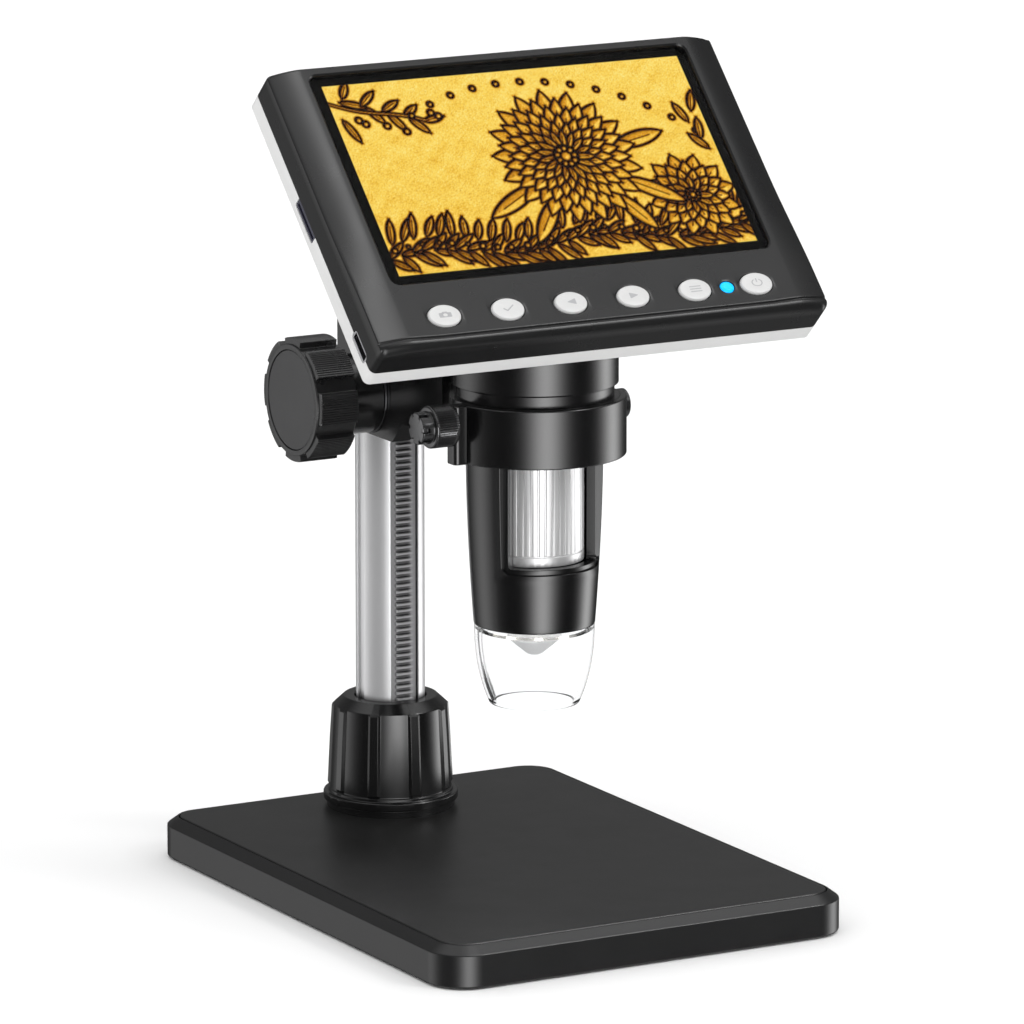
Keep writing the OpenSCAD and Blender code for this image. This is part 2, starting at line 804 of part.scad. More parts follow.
// Knob on the +X side; the left one is its mirror image
module knob() color([0.07, 0.07, 0.075]) {
    on_shaft() difference() {
        union() {
            rod_x(knob_r - knob_groove, knob_x, knob_end);
            for (i = [0:knob_lugs - 1]) rotate([i * 360 / knob_lugs, 0, 0]) intersection() {
                rod_x(knob_r, knob_x + 0.4, knob_end - 0.4);
                translate([knob_x, 0, 0]) rotate([90, 0, 90]) linear_extrude(knob_len)
                    polygon([[0, 0], [2 * knob_r * cos(15.5), 2 * knob_r * sin(15.5)],
                        [2 * knob_r * cos(15.5), -2 * knob_r * sin(15.5)]]);
            }
        }
        rod_x(knob_cap_r + snug, knob_end - knob_cap_t, knob_end + eps);
        rod_x(shaft_r + snug, knob_x - eps, shaft_half + 0.2);
    }
}

module knob_cap() color([0.13, 0.13, 0.135]) {
    on_shaft() rod_x(knob_cap_r, knob_end - knob_cap_t, knob_end - 0.2);
}

module knob_left() mirror([1, 0, 0]) knob();

module knob_right() knob();

module knob_cap_left() mirror([1, 0, 0]) knob_cap();

module knob_cap_right() knob_cap();

// ---------- microscope ----------

// Radius of the barrel at height z above its end: a slow outward curve
function barrel_at(z) = barrel_r - (barrel_r - barrel_end_r) * pow(1 - z / barrel_len, 1.7);

module barrel_shell() color([0.04, 0.04, 0.045]) {
    steps = 8;
    on_tube() difference() {
        rotate_extrude() polygon(concat([[0, barrel_end]],
            [for (i = [0:steps]) [barrel_at(i * barrel_len / steps),
                barrel_end + i * barrel_len / steps]],
            [[barrel_r, ring_z + lip_h], [seat_r, ring_z + lip_h], [seat_r, ring_top], [0, ring_top]]));
        disc(led_seat_r, barrel_end - eps, led_z + led_board_t);
        disc(lower_bore_r, led_z, window_z - shelf_t);
        disc(shelf_hole_r, window_z - shelf_t - eps, window_z + eps);
        disc(wheel_seat_r, window_z, wheel_top + 0.1);
        disc(upper_bore_r, wheel_top, ring_top + eps);
        front_sector(2 * barrel_r, window_half_arc, window_z, wheel_top + 0.1);
        difference() {
            front_sector(2 * barrel_r, window_half_arc + 5, window_z - window_step, wheel_top + 0.1);
            disc(barrel_r - window_step_depth - 0.6, window_z - window_step - eps, wheel_top + 0.2);
        }
    }
}

module focus_wheel() color([0.75, 0.76, 0.77]) {
    ribs = 44;
    on_tube() difference() {
        disc(wheel_r, window_z, wheel_top);
        disc(wheel_bore_r, window_z - eps, wheel_top + eps);
        for (i = [0:ribs - 1]) rotate(i * 360 / ribs)
            translate([wheel_r - 0.35, -0.4, window_z + wheel_band]) cube([1, 0.8, wheel_h]);
    }
}

module lens_carrier() color([0.1, 0.1, 0.1]) {
    on_tube() difference() {
        disc(carrier_r, carrier_z, carrier_z + carrier_len);
        disc(carrier_r - carrier_wall, carrier_z - eps, carrier_z + carrier_len + eps);
    }
}

module lens_glass() color([0.7, 0.85, 0.9]) {
    r = carrier_r - carrier_wall - snug;
    on_tube() for (z = [carrier_z + 1, carrier_z + carrier_len - lens_t - 2]) disc(r, z, z + lens_t);
}

module sensor_board() color([0.05, 0.3, 0.15]) {
    on_tube() disc(sensor_board_r, ring_top, ring_top + sensor_board_t);
}

module image_sensor() color([0.1, 0.1, 0.15]) {
    on_tube() translate([-sensor_w / 2, -sensor_w / 2, ring_top - sensor_t])
        cube([sensor_w, sensor_w, sensor_t]);
}

module led_board() color([0.9, 0.9, 0.88]) {
    on_tube() difference() {
        disc(led_seat_r - snug, led_z, led_z + led_board_t);
        disc(cone_r - 1.2, led_z - eps, led_z + led_board_t + eps);
    }
}

module stage_leds() color([1, 0.98, 0.9]) {
    on_tube() for (i = [0:led_count - 1]) rotate((i + 0.5) * 360 / led_count)
        translate([led_ring_r, 0, 0]) {
            disc(led_r, led_z - 0.8, led_z);
            intersection() {
                translate([0, 0, led_z - 0.8]) sphere(led_r);
                disc(2 * led_r, led_z - 2 * led_r, led_z - 0.8);
            }
        }
}

module light_cone() color([0.95, 0.95, 0.95]) {
    tip_z = led_z - 1.9 - cone_len;
    on_tube() {
        disc(cone_r, led_z - 1.9, led_z);
        translate([0, 0, tip_z]) cylinder(h = cone_len, r1 = cone_tip_r, r2 = cone_r);
        intersection() {
            translate([0, 0, tip_z + 1]) sphere(sqrt(cone_tip_r * cone_tip_r + 1));
            disc(2 * cone_tip_r, tip_z - 2, tip_z);
        }
    }
}

// Radius of the clear cap at a fraction f of its length below the barrel
function cap_at(f) = (barrel_end_r - 0.1) - 3.6 * pow(f, 2.3);

module clear_cap() color([0.9, 0.95, 1, 0.35]) {
    steps = 8;
    outer = [for (i = [0:steps]) [cap_at(i / steps), barrel_end - i * cap_len / steps]];
    inner = [for (i = [steps:-1:0]) [cap_at(i / steps) - cap_wall, barrel_end - i * cap_len / steps]];
    on_tube() difference() {
        union() {
            rotate_extrude() polygon(concat(outer, inner));
            disc(cap_at(0) - 0.3, barrel_end - cap_wall, barrel_end);
            disc(led_seat_r - snug, barrel_end, barrel_end + spigot_t);
        }
        disc(led_seat_r - snug - 0.9, barrel_end - cap_wall - eps, barrel_end + spigot_t + eps);
    }
}

module neck() color([0.04, 0.04, 0.045]) {
    foot_top = ring_top + neck_foot_h;
    roof = disp_z + disp_h / 2;
    difference() {
        on_tube() difference() {
            union() {
                disc(neck_foot_r, ring_top, foot_top);
                disc(neck_r, foot_top, roof);
            }
            disc(neck_foot_r - neck_wall, ring_top - eps, roof + eps);
        }
        on_screen() {
            translate([-disp_w, -2 * disp_h, rim_back]) cube([2 * disp_w, 4 * disp_h, 4 * disp_h]);
            hump();
        }
    }
}

// ---------- display ----------

// Raised back, wide end against the rim
module hump() {
    translate([0, hump_mid, 0]) mirror([0, 0, 1])
        bevel_slab(hump_w, hump_h, hump_corner_r, hump_slope, -rim_back - eps, -hump_back);
}

module housing_slab(z0, z1) {
    translate([0, disp_mid, 0]) slab(disp_w, disp_h, disp_corner_r, z0, z1);
}

module housing_cavity(z0, z1) {
    translate([0, disp_mid, 0])
        slab(disp_w - 2 * disp_wall, disp_h - 2 * disp_wall, cavity_corner_r, z0, z1);
}

// Side view of the front shell in Y and Z: bevelled top edge and rounded nose
module bezel_side() {
    nose_r = 1.85;
    polygon(concat(
        [[disp_up, seam], [disp_up, -1.2], [disp_up - 1.2, 0]],
        [for (i = [0:6]) let (a = 90 + i * 15)
            [nose_r - disp_down + nose_r * cos(a), nose_r * (sin(a) - 1)]],
        [[-disp_down, seam]]));
}

module key_places() {
    for (i = key_names) translate([key_x0 + (i - 2.5) * key_pitch, -key_row, 0]) children();
}

// Hollows on the left side for the two sockets
module side_ports() {
    translate([-disp_w / 2 - eps, usb_y - usb_w / 2 - 0.15, seam - usb_t / 2 - 0.15])
        cube([usb_len + 0.3, usb_w + 0.3, usb_t + 0.3]);
    translate([-disp_w / 2 - eps, card_y - card_w / 2 - 0.15, seam - card_t - 0.15])
        cube([card_len + 0.3, card_w + 0.3, card_t + 0.3]);
}

module front_bezel() color([0.09, 0.09, 0.095]) {
    slope_x = disp_w / 2 - side_slope_w;
    on_screen() difference() {
        intersection() {
            housing_slab(seam, 1);
            translate([-disp_w / 2, 0, 0]) rotate([90, 0, 90]) linear_extrude(disp_w) bezel_side();
        }
        difference() {
            union() {
                housing_cavity(seam - eps, -front_t - 2.2);
                translate([0, disp_mid, 0]) slab(panel_w + 0.4, disp_h - 2 * disp_wall,
                    cavity_corner_r, seam - eps, -front_t);
            }
            for (p = posts) translate(p) disc(post_r, seam, post_front);
            for (x = [key_x0 - 2 * key_pitch, key_x0])
                translate([x, -key_row]) disc(1.6, key_board_front, -front_t);
        }
        for (s = [0, 1]) mirror([s, 0, 0]) translate([0, disp_up + 1, 0]) rotate([90, 0, 0])
            linear_extrude(disp_up + 1 - slope_end) polygon([[slope_x, 0],
                [disp_w / 2 + 1, -side_slope_h * (side_slope_w + 1) / side_slope_w],
                [disp_w / 2 + 1, 1], [slope_x, 1]]);
        translate([-window_w / 2, -window_h / 2, -front_t - eps]) cube([window_w, window_h, 4]);
        key_places() oval(key_r + key_gap, key_half_h + key_gap, -front_t - eps, 2);
        translate([light_x, -key_row, 0]) disc(light_r + snug, -front_t - eps, 2);
        for (p = posts) translate(p) disc(cover_screw_r, seam - eps, post_front + eps);
        side_ports();
    }
}

module rear_cover() color([0.93, 0.93, 0.93]) {
    on_screen() difference() {
        union() {
            housing_slab(rim_back, seam);
            hump();
        }
        difference() {
            union() {
                housing_cavity(rim_back + back_t, seam + eps);
                translate([0, hump_mid, 0]) slab(hump_w - 2 * hump_slope - 2 * disp_wall,
                    hump_h - 2 * hump_slope - 2 * disp_wall, 2, hump_back + back_t,
                    rim_back + back_t + eps);
            }
            for (p = posts) translate(p) disc(post_r, rim_back, seam);
            for (p = board_posts) translate(p) disc(post_r, hump_back, board_back);
        }
        for (p = posts) translate(p) {
            disc(cover_screw_r + snug, rim_back - eps, seam + eps);
            disc(cover_screw_r + 0.9, rim_back - eps, rim_back + 1.5);
        }
        side_ports();
    }
}

module cover_glass() color([0.1, 0.1, 0.12]) {
    on_screen() translate([0, 0, -front_t]) linear_extrude(glass_t)
        square([window_w - 0.2, window_h - 0.2], center = true);
}

module lcd_panel() color([0.75, 0.6, 0.2]) {
    on_screen() translate([-panel_w / 2, panel_mid - panel_h / 2, panel_back])
        cube([panel_w, panel_h, panel_t]);
}

module main_board() color([0.05, 0.3, 0.15]) {
    on_screen() translate([-board_w / 2, -board_h / 2, board_back]) cube([board_w, board_h, board_t]);
}

module battery() color([0.55, 0.6, 0.65]) {
    t = hump_depth + 0.2;
    w = 62;
    h = hump_h - 2 * hump_slope - 2 * disp_wall - 1;
    on_screen() translate([-w / 2, hump_mid - h / 2, hump_back + back_t]) cube([w, h, t]);
}

module key_board() color([0.05, 0.3, 0.15]) {
    on_screen() translate([key_x0 - key_board_w / 2, -key_row - key_board_h / 2,
        key_board_front - key_board_t]) cube([key_board_w, key_board_h, key_board_t]);
}

module key_switches() color([0.6, 0.6, 0.6]) {
    on_screen() key_places()
        translate([-switch_w / 2, -switch_w / 2, key_board_front]) cube([switch_w, switch_w, switch_t]);
}

module status_light() color([0.1, 0.55, 1]) {
    on_screen() translate([light_x, -key_row, 0]) disc(light_r, key_board_front, 0.3);
}

module usb_port() color([0.7, 0.7, 0.72]) {
    on_screen() translate([-disp_w / 2 + 0.2, usb_y - usb_w / 2, seam - usb_t / 2]) difference() {
        cube([usb_len, usb_w, usb_t]);
        translate([-eps, 0.5, 0.5]) cube([usb_len - 0.8, usb_w - 1, usb_t - 1]);
    }
}

module card_socket() color([0.2, 0.2, 0.2]) {
    on_screen() translate([-disp_w / 2 + 0.2, card_y - card_w / 2, seam - card_t]) difference() {
        cube([card_len, card_w, card_t]);
        translate([-eps, 0.5, 0.6]) cube([card_len - 1, card_w - 1, 0.9]);
    }
}

module cover_screws() color([0.3, 0.3, 0.32]) {
    on_screen() for (p = posts) translate(p) {
        disc(cover_screw_r + 0.8, rim_back + 0.4, rim_back + 1.5);
        disc(cover_screw_r - snug, rim_back + 1.5, post_front - 0.3);
    }
}

// One key: cap, flange under the shell's front wall and stem
module key(i) color([0.93, 0.93, 0.93]) {
    on_screen() translate([key_x0 + (i - 2.5) * key_pitch, -key_row, 0]) {
        oval(key_r, key_half_h, -front_t - eps, key_proud);
        disc(key_flange_r, -front_t - key_flange_t, -front_t);
    }
}

module key_camera() key(0);

module key_confirm() key(1);

module key_left() key(2);

module key_right() key(3);

module key_menu() key(4);

module key_power() key(5);

base_shell();
stage_plate();
floor_plate();
ballast();
base_screws();
rubber_feet();
column_socket();
column_bolt();
column();
gear_rack();
column_cap();
lock_nut();
carriage();
slide_liner();
carriage_arm();
arm_screws();
clamp_band();
bearing_washers();
bearing_bosses();
thumbscrew();
side_screw();
focus_shaft();
pinion();
knob_left();
knob_right();
knob_cap_left();
knob_cap_right();
barrel_shell();
focus_wheel();
lens_carrier();
lens_glass();
image_sensor();
sensor_board();
led_board();
stage_leds();
light_cone();
clear_cap();
neck();
front_bezel();
rear_cover();
cover_glass();
lcd_panel();
main_board();
battery();
key_board();
key_switches();
status_light();
usb_port();
card_socket();
cover_screws();
key_camera();
key_confirm();
key_left();
key_right();
key_menu();
key_power();
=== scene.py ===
# %% [markdown]
# # A desk microscope with its own screen
# This file dresses a finished mechanical model. The model comes first: its parts have names, and each
# part hangs on a body that can move. Every visible part is then either given a better surface, or is
# replaced by a surface worked out here with numpy. All sizes are typed in millimetres, because that is
# how such an instrument is drawn, and they are turned into Blender's metres in one place only.

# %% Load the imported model
import json
from math import cos, degrees, pi, radians, sin, sqrt

import bmesh
import bpy
import numpy as np
from mathutils import Matrix, Vector


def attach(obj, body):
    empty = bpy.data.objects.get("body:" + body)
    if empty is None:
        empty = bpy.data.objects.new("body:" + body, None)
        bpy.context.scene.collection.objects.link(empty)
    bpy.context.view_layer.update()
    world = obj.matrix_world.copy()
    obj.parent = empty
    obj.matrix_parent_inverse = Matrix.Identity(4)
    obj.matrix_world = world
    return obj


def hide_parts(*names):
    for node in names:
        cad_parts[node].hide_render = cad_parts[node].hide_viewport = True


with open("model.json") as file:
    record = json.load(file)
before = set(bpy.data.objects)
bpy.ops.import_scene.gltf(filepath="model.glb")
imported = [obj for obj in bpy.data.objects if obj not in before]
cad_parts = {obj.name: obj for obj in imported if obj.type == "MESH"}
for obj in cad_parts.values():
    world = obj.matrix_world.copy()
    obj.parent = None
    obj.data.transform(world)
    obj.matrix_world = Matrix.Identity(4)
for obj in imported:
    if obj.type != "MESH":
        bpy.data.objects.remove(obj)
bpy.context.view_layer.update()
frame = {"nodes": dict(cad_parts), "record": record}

MM = 0.001
NODES = frame["nodes"]

# %% [markdown]
# ## Grids, lathes and fillets
# Nearly every part of this microscope is turned, extruded or lofted. All three are one idea: rows of
# points, joined to the next row by four-sided faces. A helper that joins rows is therefore enough, and
# each part only has to say where its rows lie. Edges of real mouldings are never sharp, so a second
# helper rounds the corners of a drawn profile before it is turned or lofted.

# %% Join rows of points
def grid_faces(rows, columns, wrap=True):
    """Four-sided faces between neighbours of a grid; with wrap, the last column joins the first."""
    i, j = np.meshgrid(np.arange(rows - 1), np.arange(columns - (not wrap)), indexing="ij")
    k = (j + 1) % columns
    return np.stack([i * columns + j, i * columns + k, (i + 1) * columns + k, (i + 1) * columns + j],
                    -1).reshape(-1, 4)


def skin(rows):
    """Surface over closed rows of points, an array (rows, points, 3)."""
    rows = np.asarray(rows, float)
    return rows.reshape(-1, 3), grid_faces(*rows.shape[:2])


def together(*parts):
    """Several (points, faces) pairs as one: the faces of each pair count on from the pairs before it."""
    starts = np.cumsum([0] + [len(points) for points, _ in parts])
    faces = [[v + start for v in face] for start, (_, own) in zip(starts, parts) for face in own]
    return np.concatenate([points for points, _ in parts]), faces


def fillet(corners, steps=5, closed=True):
    """Path through corners (x, y, radius), each corner turned into an arc that touches both its sides."""
    c = np.array(corners, float)
    points, out = c[:, :2], []
    for i, r in enumerate(c[:, 2]):
        if r == 0 or (not closed and i in (0, len(c) - 1)):
            out.append(points[i:i + 1])
            continue
        a, b = points[i - 1] - points[i], points[(i + 1) % len(c)] - points[i]
        la, lb = np.hypot(*a), np.hypot(*b)
        a, b = a / la, b / lb
        half = np.arccos(np.clip(a @ b, -1, 1)) / 2
        t = min(r / np.tan(half), 0.49 * la, 0.49 * lb)
        middle = points[i] + (a + b) / np.hypot(*(a + b)) * t / cos(half)
        s, e, turn = points[i] + a * t - middle, points[i] + b * t - middle, pi - 2 * half
        u = np.linspace(0, 1, steps + 1)[:, None]
        out.append(middle + (np.sin((1 - u) * turn) * s + np.sin(u * turn) * e) / sin(turn))
    return np.concatenate(out)


def lathe(profile, at=(0, 0, 0), axis="z", segments=128, ripple=None):
    """Turned surface: a point (r, h) of the profile goes to r cos a, r sin a, h for every angle a.
    ripple(a, h), if given, is added to the radius. Along x, h runs along X and a starts at +Y."""
    profile = np.asarray(profile, float)
    a = np.linspace(0, 2 * pi, segments, endpoint=False)
    r, h = profile[:, :1] + 0 * a, profile[:, 1:] + 0 * a
    if ripple:
        r = np.where(r > 0, r + ripple(a + 0 * h, h), 0)
    flat = (r * np.cos(a), r * np.sin(a))
    rows = np.stack((*flat, h) if axis == "z" else (h, *flat), -1) + np.array(at)
    return skin(rows)


def smooth(x, low, high):
    """0 below low, 1 above high, and an S-curve between."""
    t = np.clip((x - low) / (high - low), 0, 1)
    return t * t * (3 - 2 * t)


print("helpers ready")

# %% [markdown]
# ## From arrays to pieces
# Blender wants one mesh per piece, with outward faces. Points that fall on each other, such as the pole
# of a turned part, are merged first, because a pole that is left open makes a dark star in the shading.
# Weighted normals then let the big flat faces keep their flatness next to the narrow rounded edges.

# %% Make one piece
FINISHES = {}


def piece(name, shape, body, finish, replaces=(), sharp=35, weighted=True):
    """Mesh object from (points in mm, faces), riding on a body, with a finish of FINISHES."""
    points, faces = shape
    mesh = bpy.data.meshes.new(name)
    mesh.from_pydata((np.asarray(points) * MM).tolist(), [],
                     faces.tolist() if isinstance(faces, np.ndarray) else faces)
    bm = bmesh.new()
    bm.from_mesh(mesh)
    bmesh.ops.remove_doubles(bm, verts=bm.verts, dist=3e-7)
    bmesh.ops.recalc_face_normals(bm, faces=bm.faces)
    bm.to_mesh(mesh)
    bm.free()
    obj = bpy.data.objects.new(name, mesh)
    bpy.context.scene.collection.objects.link(obj)
    settle(obj, body, finish, replaces, sharp, weighted)
    print(name, "-", len(mesh.polygons), "faces on", body)
    return obj


def settle(obj, body, finish, replaces=(), sharp=35, weighted=True):
    """Smooth shading, finish, slot, body and the nodes that the piece stands for."""
    obj.data.shade_smooth()
    obj.data.set_sharp_from_angle(angle=radians(sharp))
    if weighted:
        modifier = obj.modifiers.new("weighted normals", "WEIGHTED_NORMAL")
        modifier.keep_sharp = True
    obj.data.materials.append(FINISHES[finish])
    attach(obj, body)
    if replaces:
        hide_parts(*replaces)


def rounded_copy(name, node, body, finish, width, segments=3):
    """Merged copy of a flat-sided node with its sharp edges rounded by a Bevel modifier."""
    source = NODES[node].data
    points = np.empty(len(source.vertices) * 3)
    source.vertices.foreach_get("co", points)
    mesh = bpy.data.meshes.new(name)
    mesh.from_pydata(points.reshape(-1, 3).tolist(), [], [list(f.vertices) for f in source.polygons])
    bm = bmesh.new()
    bm.from_mesh(mesh)
    bmesh.ops.remove_doubles(bm, verts=bm.verts, dist=2e-6)
    bmesh.ops.dissolve_limit(bm, angle_limit=radians(1), verts=bm.verts, edges=bm.edges)
    bmesh.ops.recalc_face_normals(bm, faces=bm.faces)
    bm.to_mesh(mesh)
    bm.free()
    obj = bpy.data.objects.new(name, mesh)
    bpy.context.scene.collection.objects.link(obj)
    bevel = obj.modifiers.new("rounded edges", "BEVEL")
    bevel.width, bevel.segments, bevel.limit_method = width * MM, segments, "ANGLE"
    bevel.angle_limit = radians(25)
    settle(obj, body, finish, [node])
    print(name, "-", len(mesh.polygons), "faces before rounding")
    return obj


# %% [markdown]
# ## Finishes
# Black plastic isn't one material. The barrel is polished, the base is satin with a fine grain, and the
# knobs are nearly matt. What tells them apart is roughness and a little unevenness: a fine bump at the
# scale of the mould's texture, and larger soft patches where the gloss changes a little. Edges are painted
# a little paler, a painted highlight for the thin line of light they catch, and two metal parts get painted
# shade in their hollows. All patterns use Object coordinates in metres, so a noise scale of 3000 is a grain
# of 0.3 mm.

# %% A finish with grain, soft patches, painted highlights on edges and painted shade in hollows
PATCH_SCALE, PATCH_LOW, PATCH_HIGH, DRIFT = 70, 0.3, 0.7, 0.08
# Pointiness where the painted edge highlight begins, and where it is strongest.
EDGE_FROM, EDGE_FULL = 0.52, 0.6  # pointiness where an edge starts to pale, and where it is palest
# The dark colour below is painted shade, laid into hollows and gaps.
BUMP_DEPTH, PAINTED_SHADE_COLOUR = 0.0001, (0.03, 0.03, 0.03, 1)


def finish(slot, colour, roughness, metallic=0.0, grain=(3000, 0.05), patch=0.05, stretch=(1, 1, 1),
           painted_edge_highlight=0.25, painted_shade_reach=0.0, **sockets):
    """Principled surface: noise bump (grain = noise scale, strength), roughness that drifts by patch, and
    colour that drifts a little. The colour is paler where the surface turns sharply, a painted highlight,
    and darker by painted shade where neighbouring surfaces come within the shade reach, in metres."""
    material = bpy.data.materials.new(slot)
    material.use_nodes = True
    nodes, links = material.node_tree.nodes, material.node_tree.links
    shader = nodes["Principled BSDF"]
    shader.inputs["Metallic"].default_value = metallic
    for key, value in sockets.items():
        shader.inputs[key.replace("_", " ")].default_value = value
    where = nodes.new("ShaderNodeTexCoord")
    mapping = nodes.new("ShaderNodeMapping")
    mapping.inputs["Scale"].default_value = stretch
    links.new(where.outputs["Object"], mapping.inputs["Vector"])

    def noise(scale, detail, source):
        """Value of a noise over the source, a vector socket."""
        node = nodes.new("ShaderNodeTexNoise")
        node.inputs["Scale"].default_value = scale
        node.inputs["Detail"].default_value = detail
        links.new(source, node.inputs["Vector"])
        return node.outputs["Fac"]

    def ramp(source, low, high, out_low, out_high):
        """Value that goes from out_low to out_high as the source goes from low to high."""
        node = nodes.new("ShaderNodeMapRange")
        for key, value in zip(("From Min", "From Max", "To Min", "To Max"), (low, high, out_low, out_high)):
            node.inputs[key].default_value = value
        links.new(source, node.inputs["Value"])
        return node.outputs["Result"]

    patches = noise(PATCH_SCALE, 3, where.outputs["Object"])
    links.new(ramp(patches, PATCH_LOW, PATCH_HIGH, max(roughness - patch, 0.02), roughness + patch),
              shader.inputs["Roughness"])
    bump = nodes.new("ShaderNodeBump")
    bump.inputs["Strength"].default_value = grain[1]
    bump.inputs["Distance"].default_value = BUMP_DEPTH
    links.new(noise(grain[0], 2, mapping.outputs["Vector"]), bump.inputs["Height"])
    links.new(bump.outputs["Normal"], shader.inputs["Normal"])
    # Painted highlight: the colour turns paler where the surface turns sharply, standing in for the line of
    # light an edge catches. The patches add a small random drift of tone.
    geometry = nodes.new("ShaderNodeNewGeometry")
    edge = ramp(geometry.outputs["Pointiness"], EDGE_FROM, EDGE_FULL, 0, painted_edge_highlight)
    drift = ramp(patches, PATCH_LOW, PATCH_HIGH, 0, DRIFT)
    total = nodes.new("ShaderNodeMath")
    total.operation = "ADD"
    links.new(edge, total.inputs[0])
    links.new(drift, total.inputs[1])
    mix = nodes.new("ShaderNodeMix")
    mix.data_type = "RGBA"
    mix.inputs["A"].default_value = (*colour, 1)
    mix.inputs["B"].default_value = (*(min(c * 1.5 + 0.006, 1) for c in colour), 1)
    links.new(total.outputs[0], mix.inputs["Factor"])
    links.new(mix.outputs["Result"], shader.inputs["Base Color"])
    # Painted shade: the colour darkens where neighbouring surfaces close in, such as between the rack's
    # teeth.
    if painted_shade_reach:
        near = nodes.new("ShaderNodeAmbientOcclusion")
        near.inputs["Distance"].default_value = painted_shade_reach
        dark = nodes.new("ShaderNodeMix")
        dark.data_type = "RGBA"
        dark.inputs["A"].default_value = PAINTED_SHADE_COLOUR
        links.new(mix.outputs["Result"], dark.inputs["B"])
        links.new(ramp(near.outputs["AO"], 0.35, 0.75, 0, 1), dark.inputs["Factor"])
        links.new(dark.outputs["Result"], shader.inputs["Base Color"])
    FINISHES[slot] = material
    return shader


# %% [markdown]
# The list below is the instrument's whole wardrobe. Metals take their colour in the reflection, so they
# are metallic and their streaks are a noise stretched along the bar. The column and the rack get painted
# shade in their gaps. Clear parts pass light, and the two lamps give light; the frosted cone has a faint
# painted glow as well.

# %% Every finish of the instrument
finish("base_plastic", (0.011, 0.011, 0.0115), 0.30, grain=(2600, 0.05), patch=0.015,
       Specular_IOR_Level=0.75)
finish("stage_paint", (0.012, 0.012, 0.0123), 0.36, grain=(3200, 0.06), patch=0.02,
       Specular_IOR_Level=1.0)
finish("floor_sheet", (0.05, 0.05, 0.05), 0.5, metallic=0.3)
finish("steel", (0.55, 0.55, 0.57), 0.3, metallic=1.0)
finish("rubber", (0.03, 0.03, 0.03), 0.8, grain=(1800, 0.3))
finish("gloss_black", (0.004, 0.004, 0.0043), 0.19, grain=(900, 0.01), patch=0.02,
       Specular_IOR_Level=1.0)
finish("knob_black", (0.013, 0.013, 0.0135), 0.30, grain=(3000, 0.08), Specular_IOR_Level=1.0)
finish("knob_cap", (0.050, 0.050, 0.051), 0.5, grain=(3600, 0.10))
finish("column_alu", (0.84, 0.84, 0.85), 0.34, metallic=0.55, grain=(2500, 0.10), patch=0.01,
       stretch=(1, 1, 0.01), painted_shade_reach=0.003)
finish("rack_steel", (0.60, 0.60, 0.61), 0.34, metallic=0.5, grain=(2500, 0.10), patch=0.01,
       stretch=(1, 1, 0.2), painted_shade_reach=0.0016)
finish("nylon", (0.82, 0.81, 0.77), 0.5)
finish("bright_metal", (0.16, 0.16, 0.165), 0.30, metallic=1.0)
finish("screw_black", (0.17, 0.17, 0.173), 0.22, grain=(2500, 0.05), metallic=1.0)
finish("brass", (0.75, 0.56, 0.25), 0.3, metallic=1.0)
finish("wheel_silver", (0.74, 0.74, 0.745), 0.34, metallic=0.65, grain=(2500, 0.05), patch=0.01,
       stretch=(1, 1, 0.02))
finish("carrier_black", (0.03, 0.03, 0.03), 0.6)
finish("lens", (0.9, 0.95, 1.0), 0.02, Transmission_Weight=1.0, IOR=1.5, painted_edge_highlight=0, patch=0.01)
finish("chip", (0.03, 0.03, 0.05), 0.2)
finish("board_green", (0.02, 0.16, 0.06), 0.35, grain=(1200, 0.2))
finish("board_white", (0.82, 0.82, 0.8), 0.4)
finish("led", (1.0, 0.97, 0.88), 0.2, Emission_Color=(1.0, 0.96, 0.86, 1), Emission_Strength=2.5)
# The frosted cone's faint emission is painted light: a glow that brightens it beyond what the studio gives.
finish("frosted", (0.90, 0.90, 0.90), 0.40, grain=(2000, 0.1), Emission_Color=(1, 1, 1, 1),
       Emission_Strength=0.08)
finish("clear", (0.985, 0.99, 0.995), 0.09, Transmission_Weight=1.0, IOR=1.12, painted_edge_highlight=0, patch=0.012,
       grain=(400, 0.01))
bezel = finish("bezel_grey", (0.009, 0.009, 0.0093), 0.28, grain=(3000, 0.05), patch=0.02)
finish("cover_white", (0.70, 0.70, 0.695), 0.38, grain=(1200, 0.04), painted_edge_highlight=0.1)
finish("screen_glass", (1.0, 1.0, 1.0), 0.03, Transmission_Weight=1.0, IOR=1.15, painted_edge_highlight=0, patch=0.01)
finish("panel", (0.01, 0.01, 0.01), 0.3)
finish("battery_wrap", (0.45, 0.5, 0.55), 0.35)
finish("key_white", (0.60, 0.60, 0.595), 0.35, grain=(1500, 0.05), painted_edge_highlight=0.05)
finish("key_grey", (0.34, 0.34, 0.35), 0.45)
finish("blue_light", (0.0, 0.3, 0.8), 0.25, Emission_Color=(0.0, 0.44, 1.0, 1), Emission_Strength=1.0)
print(len(FINISHES), "finishes")

# %% [markdown]
# The display's shell is glossy in front, but its side walls are nearly matt, as mouldings often are where
# the mould's wall is not polished. The gloss therefore fades with the depth below the face, which is one
# dot product with the face's normal.

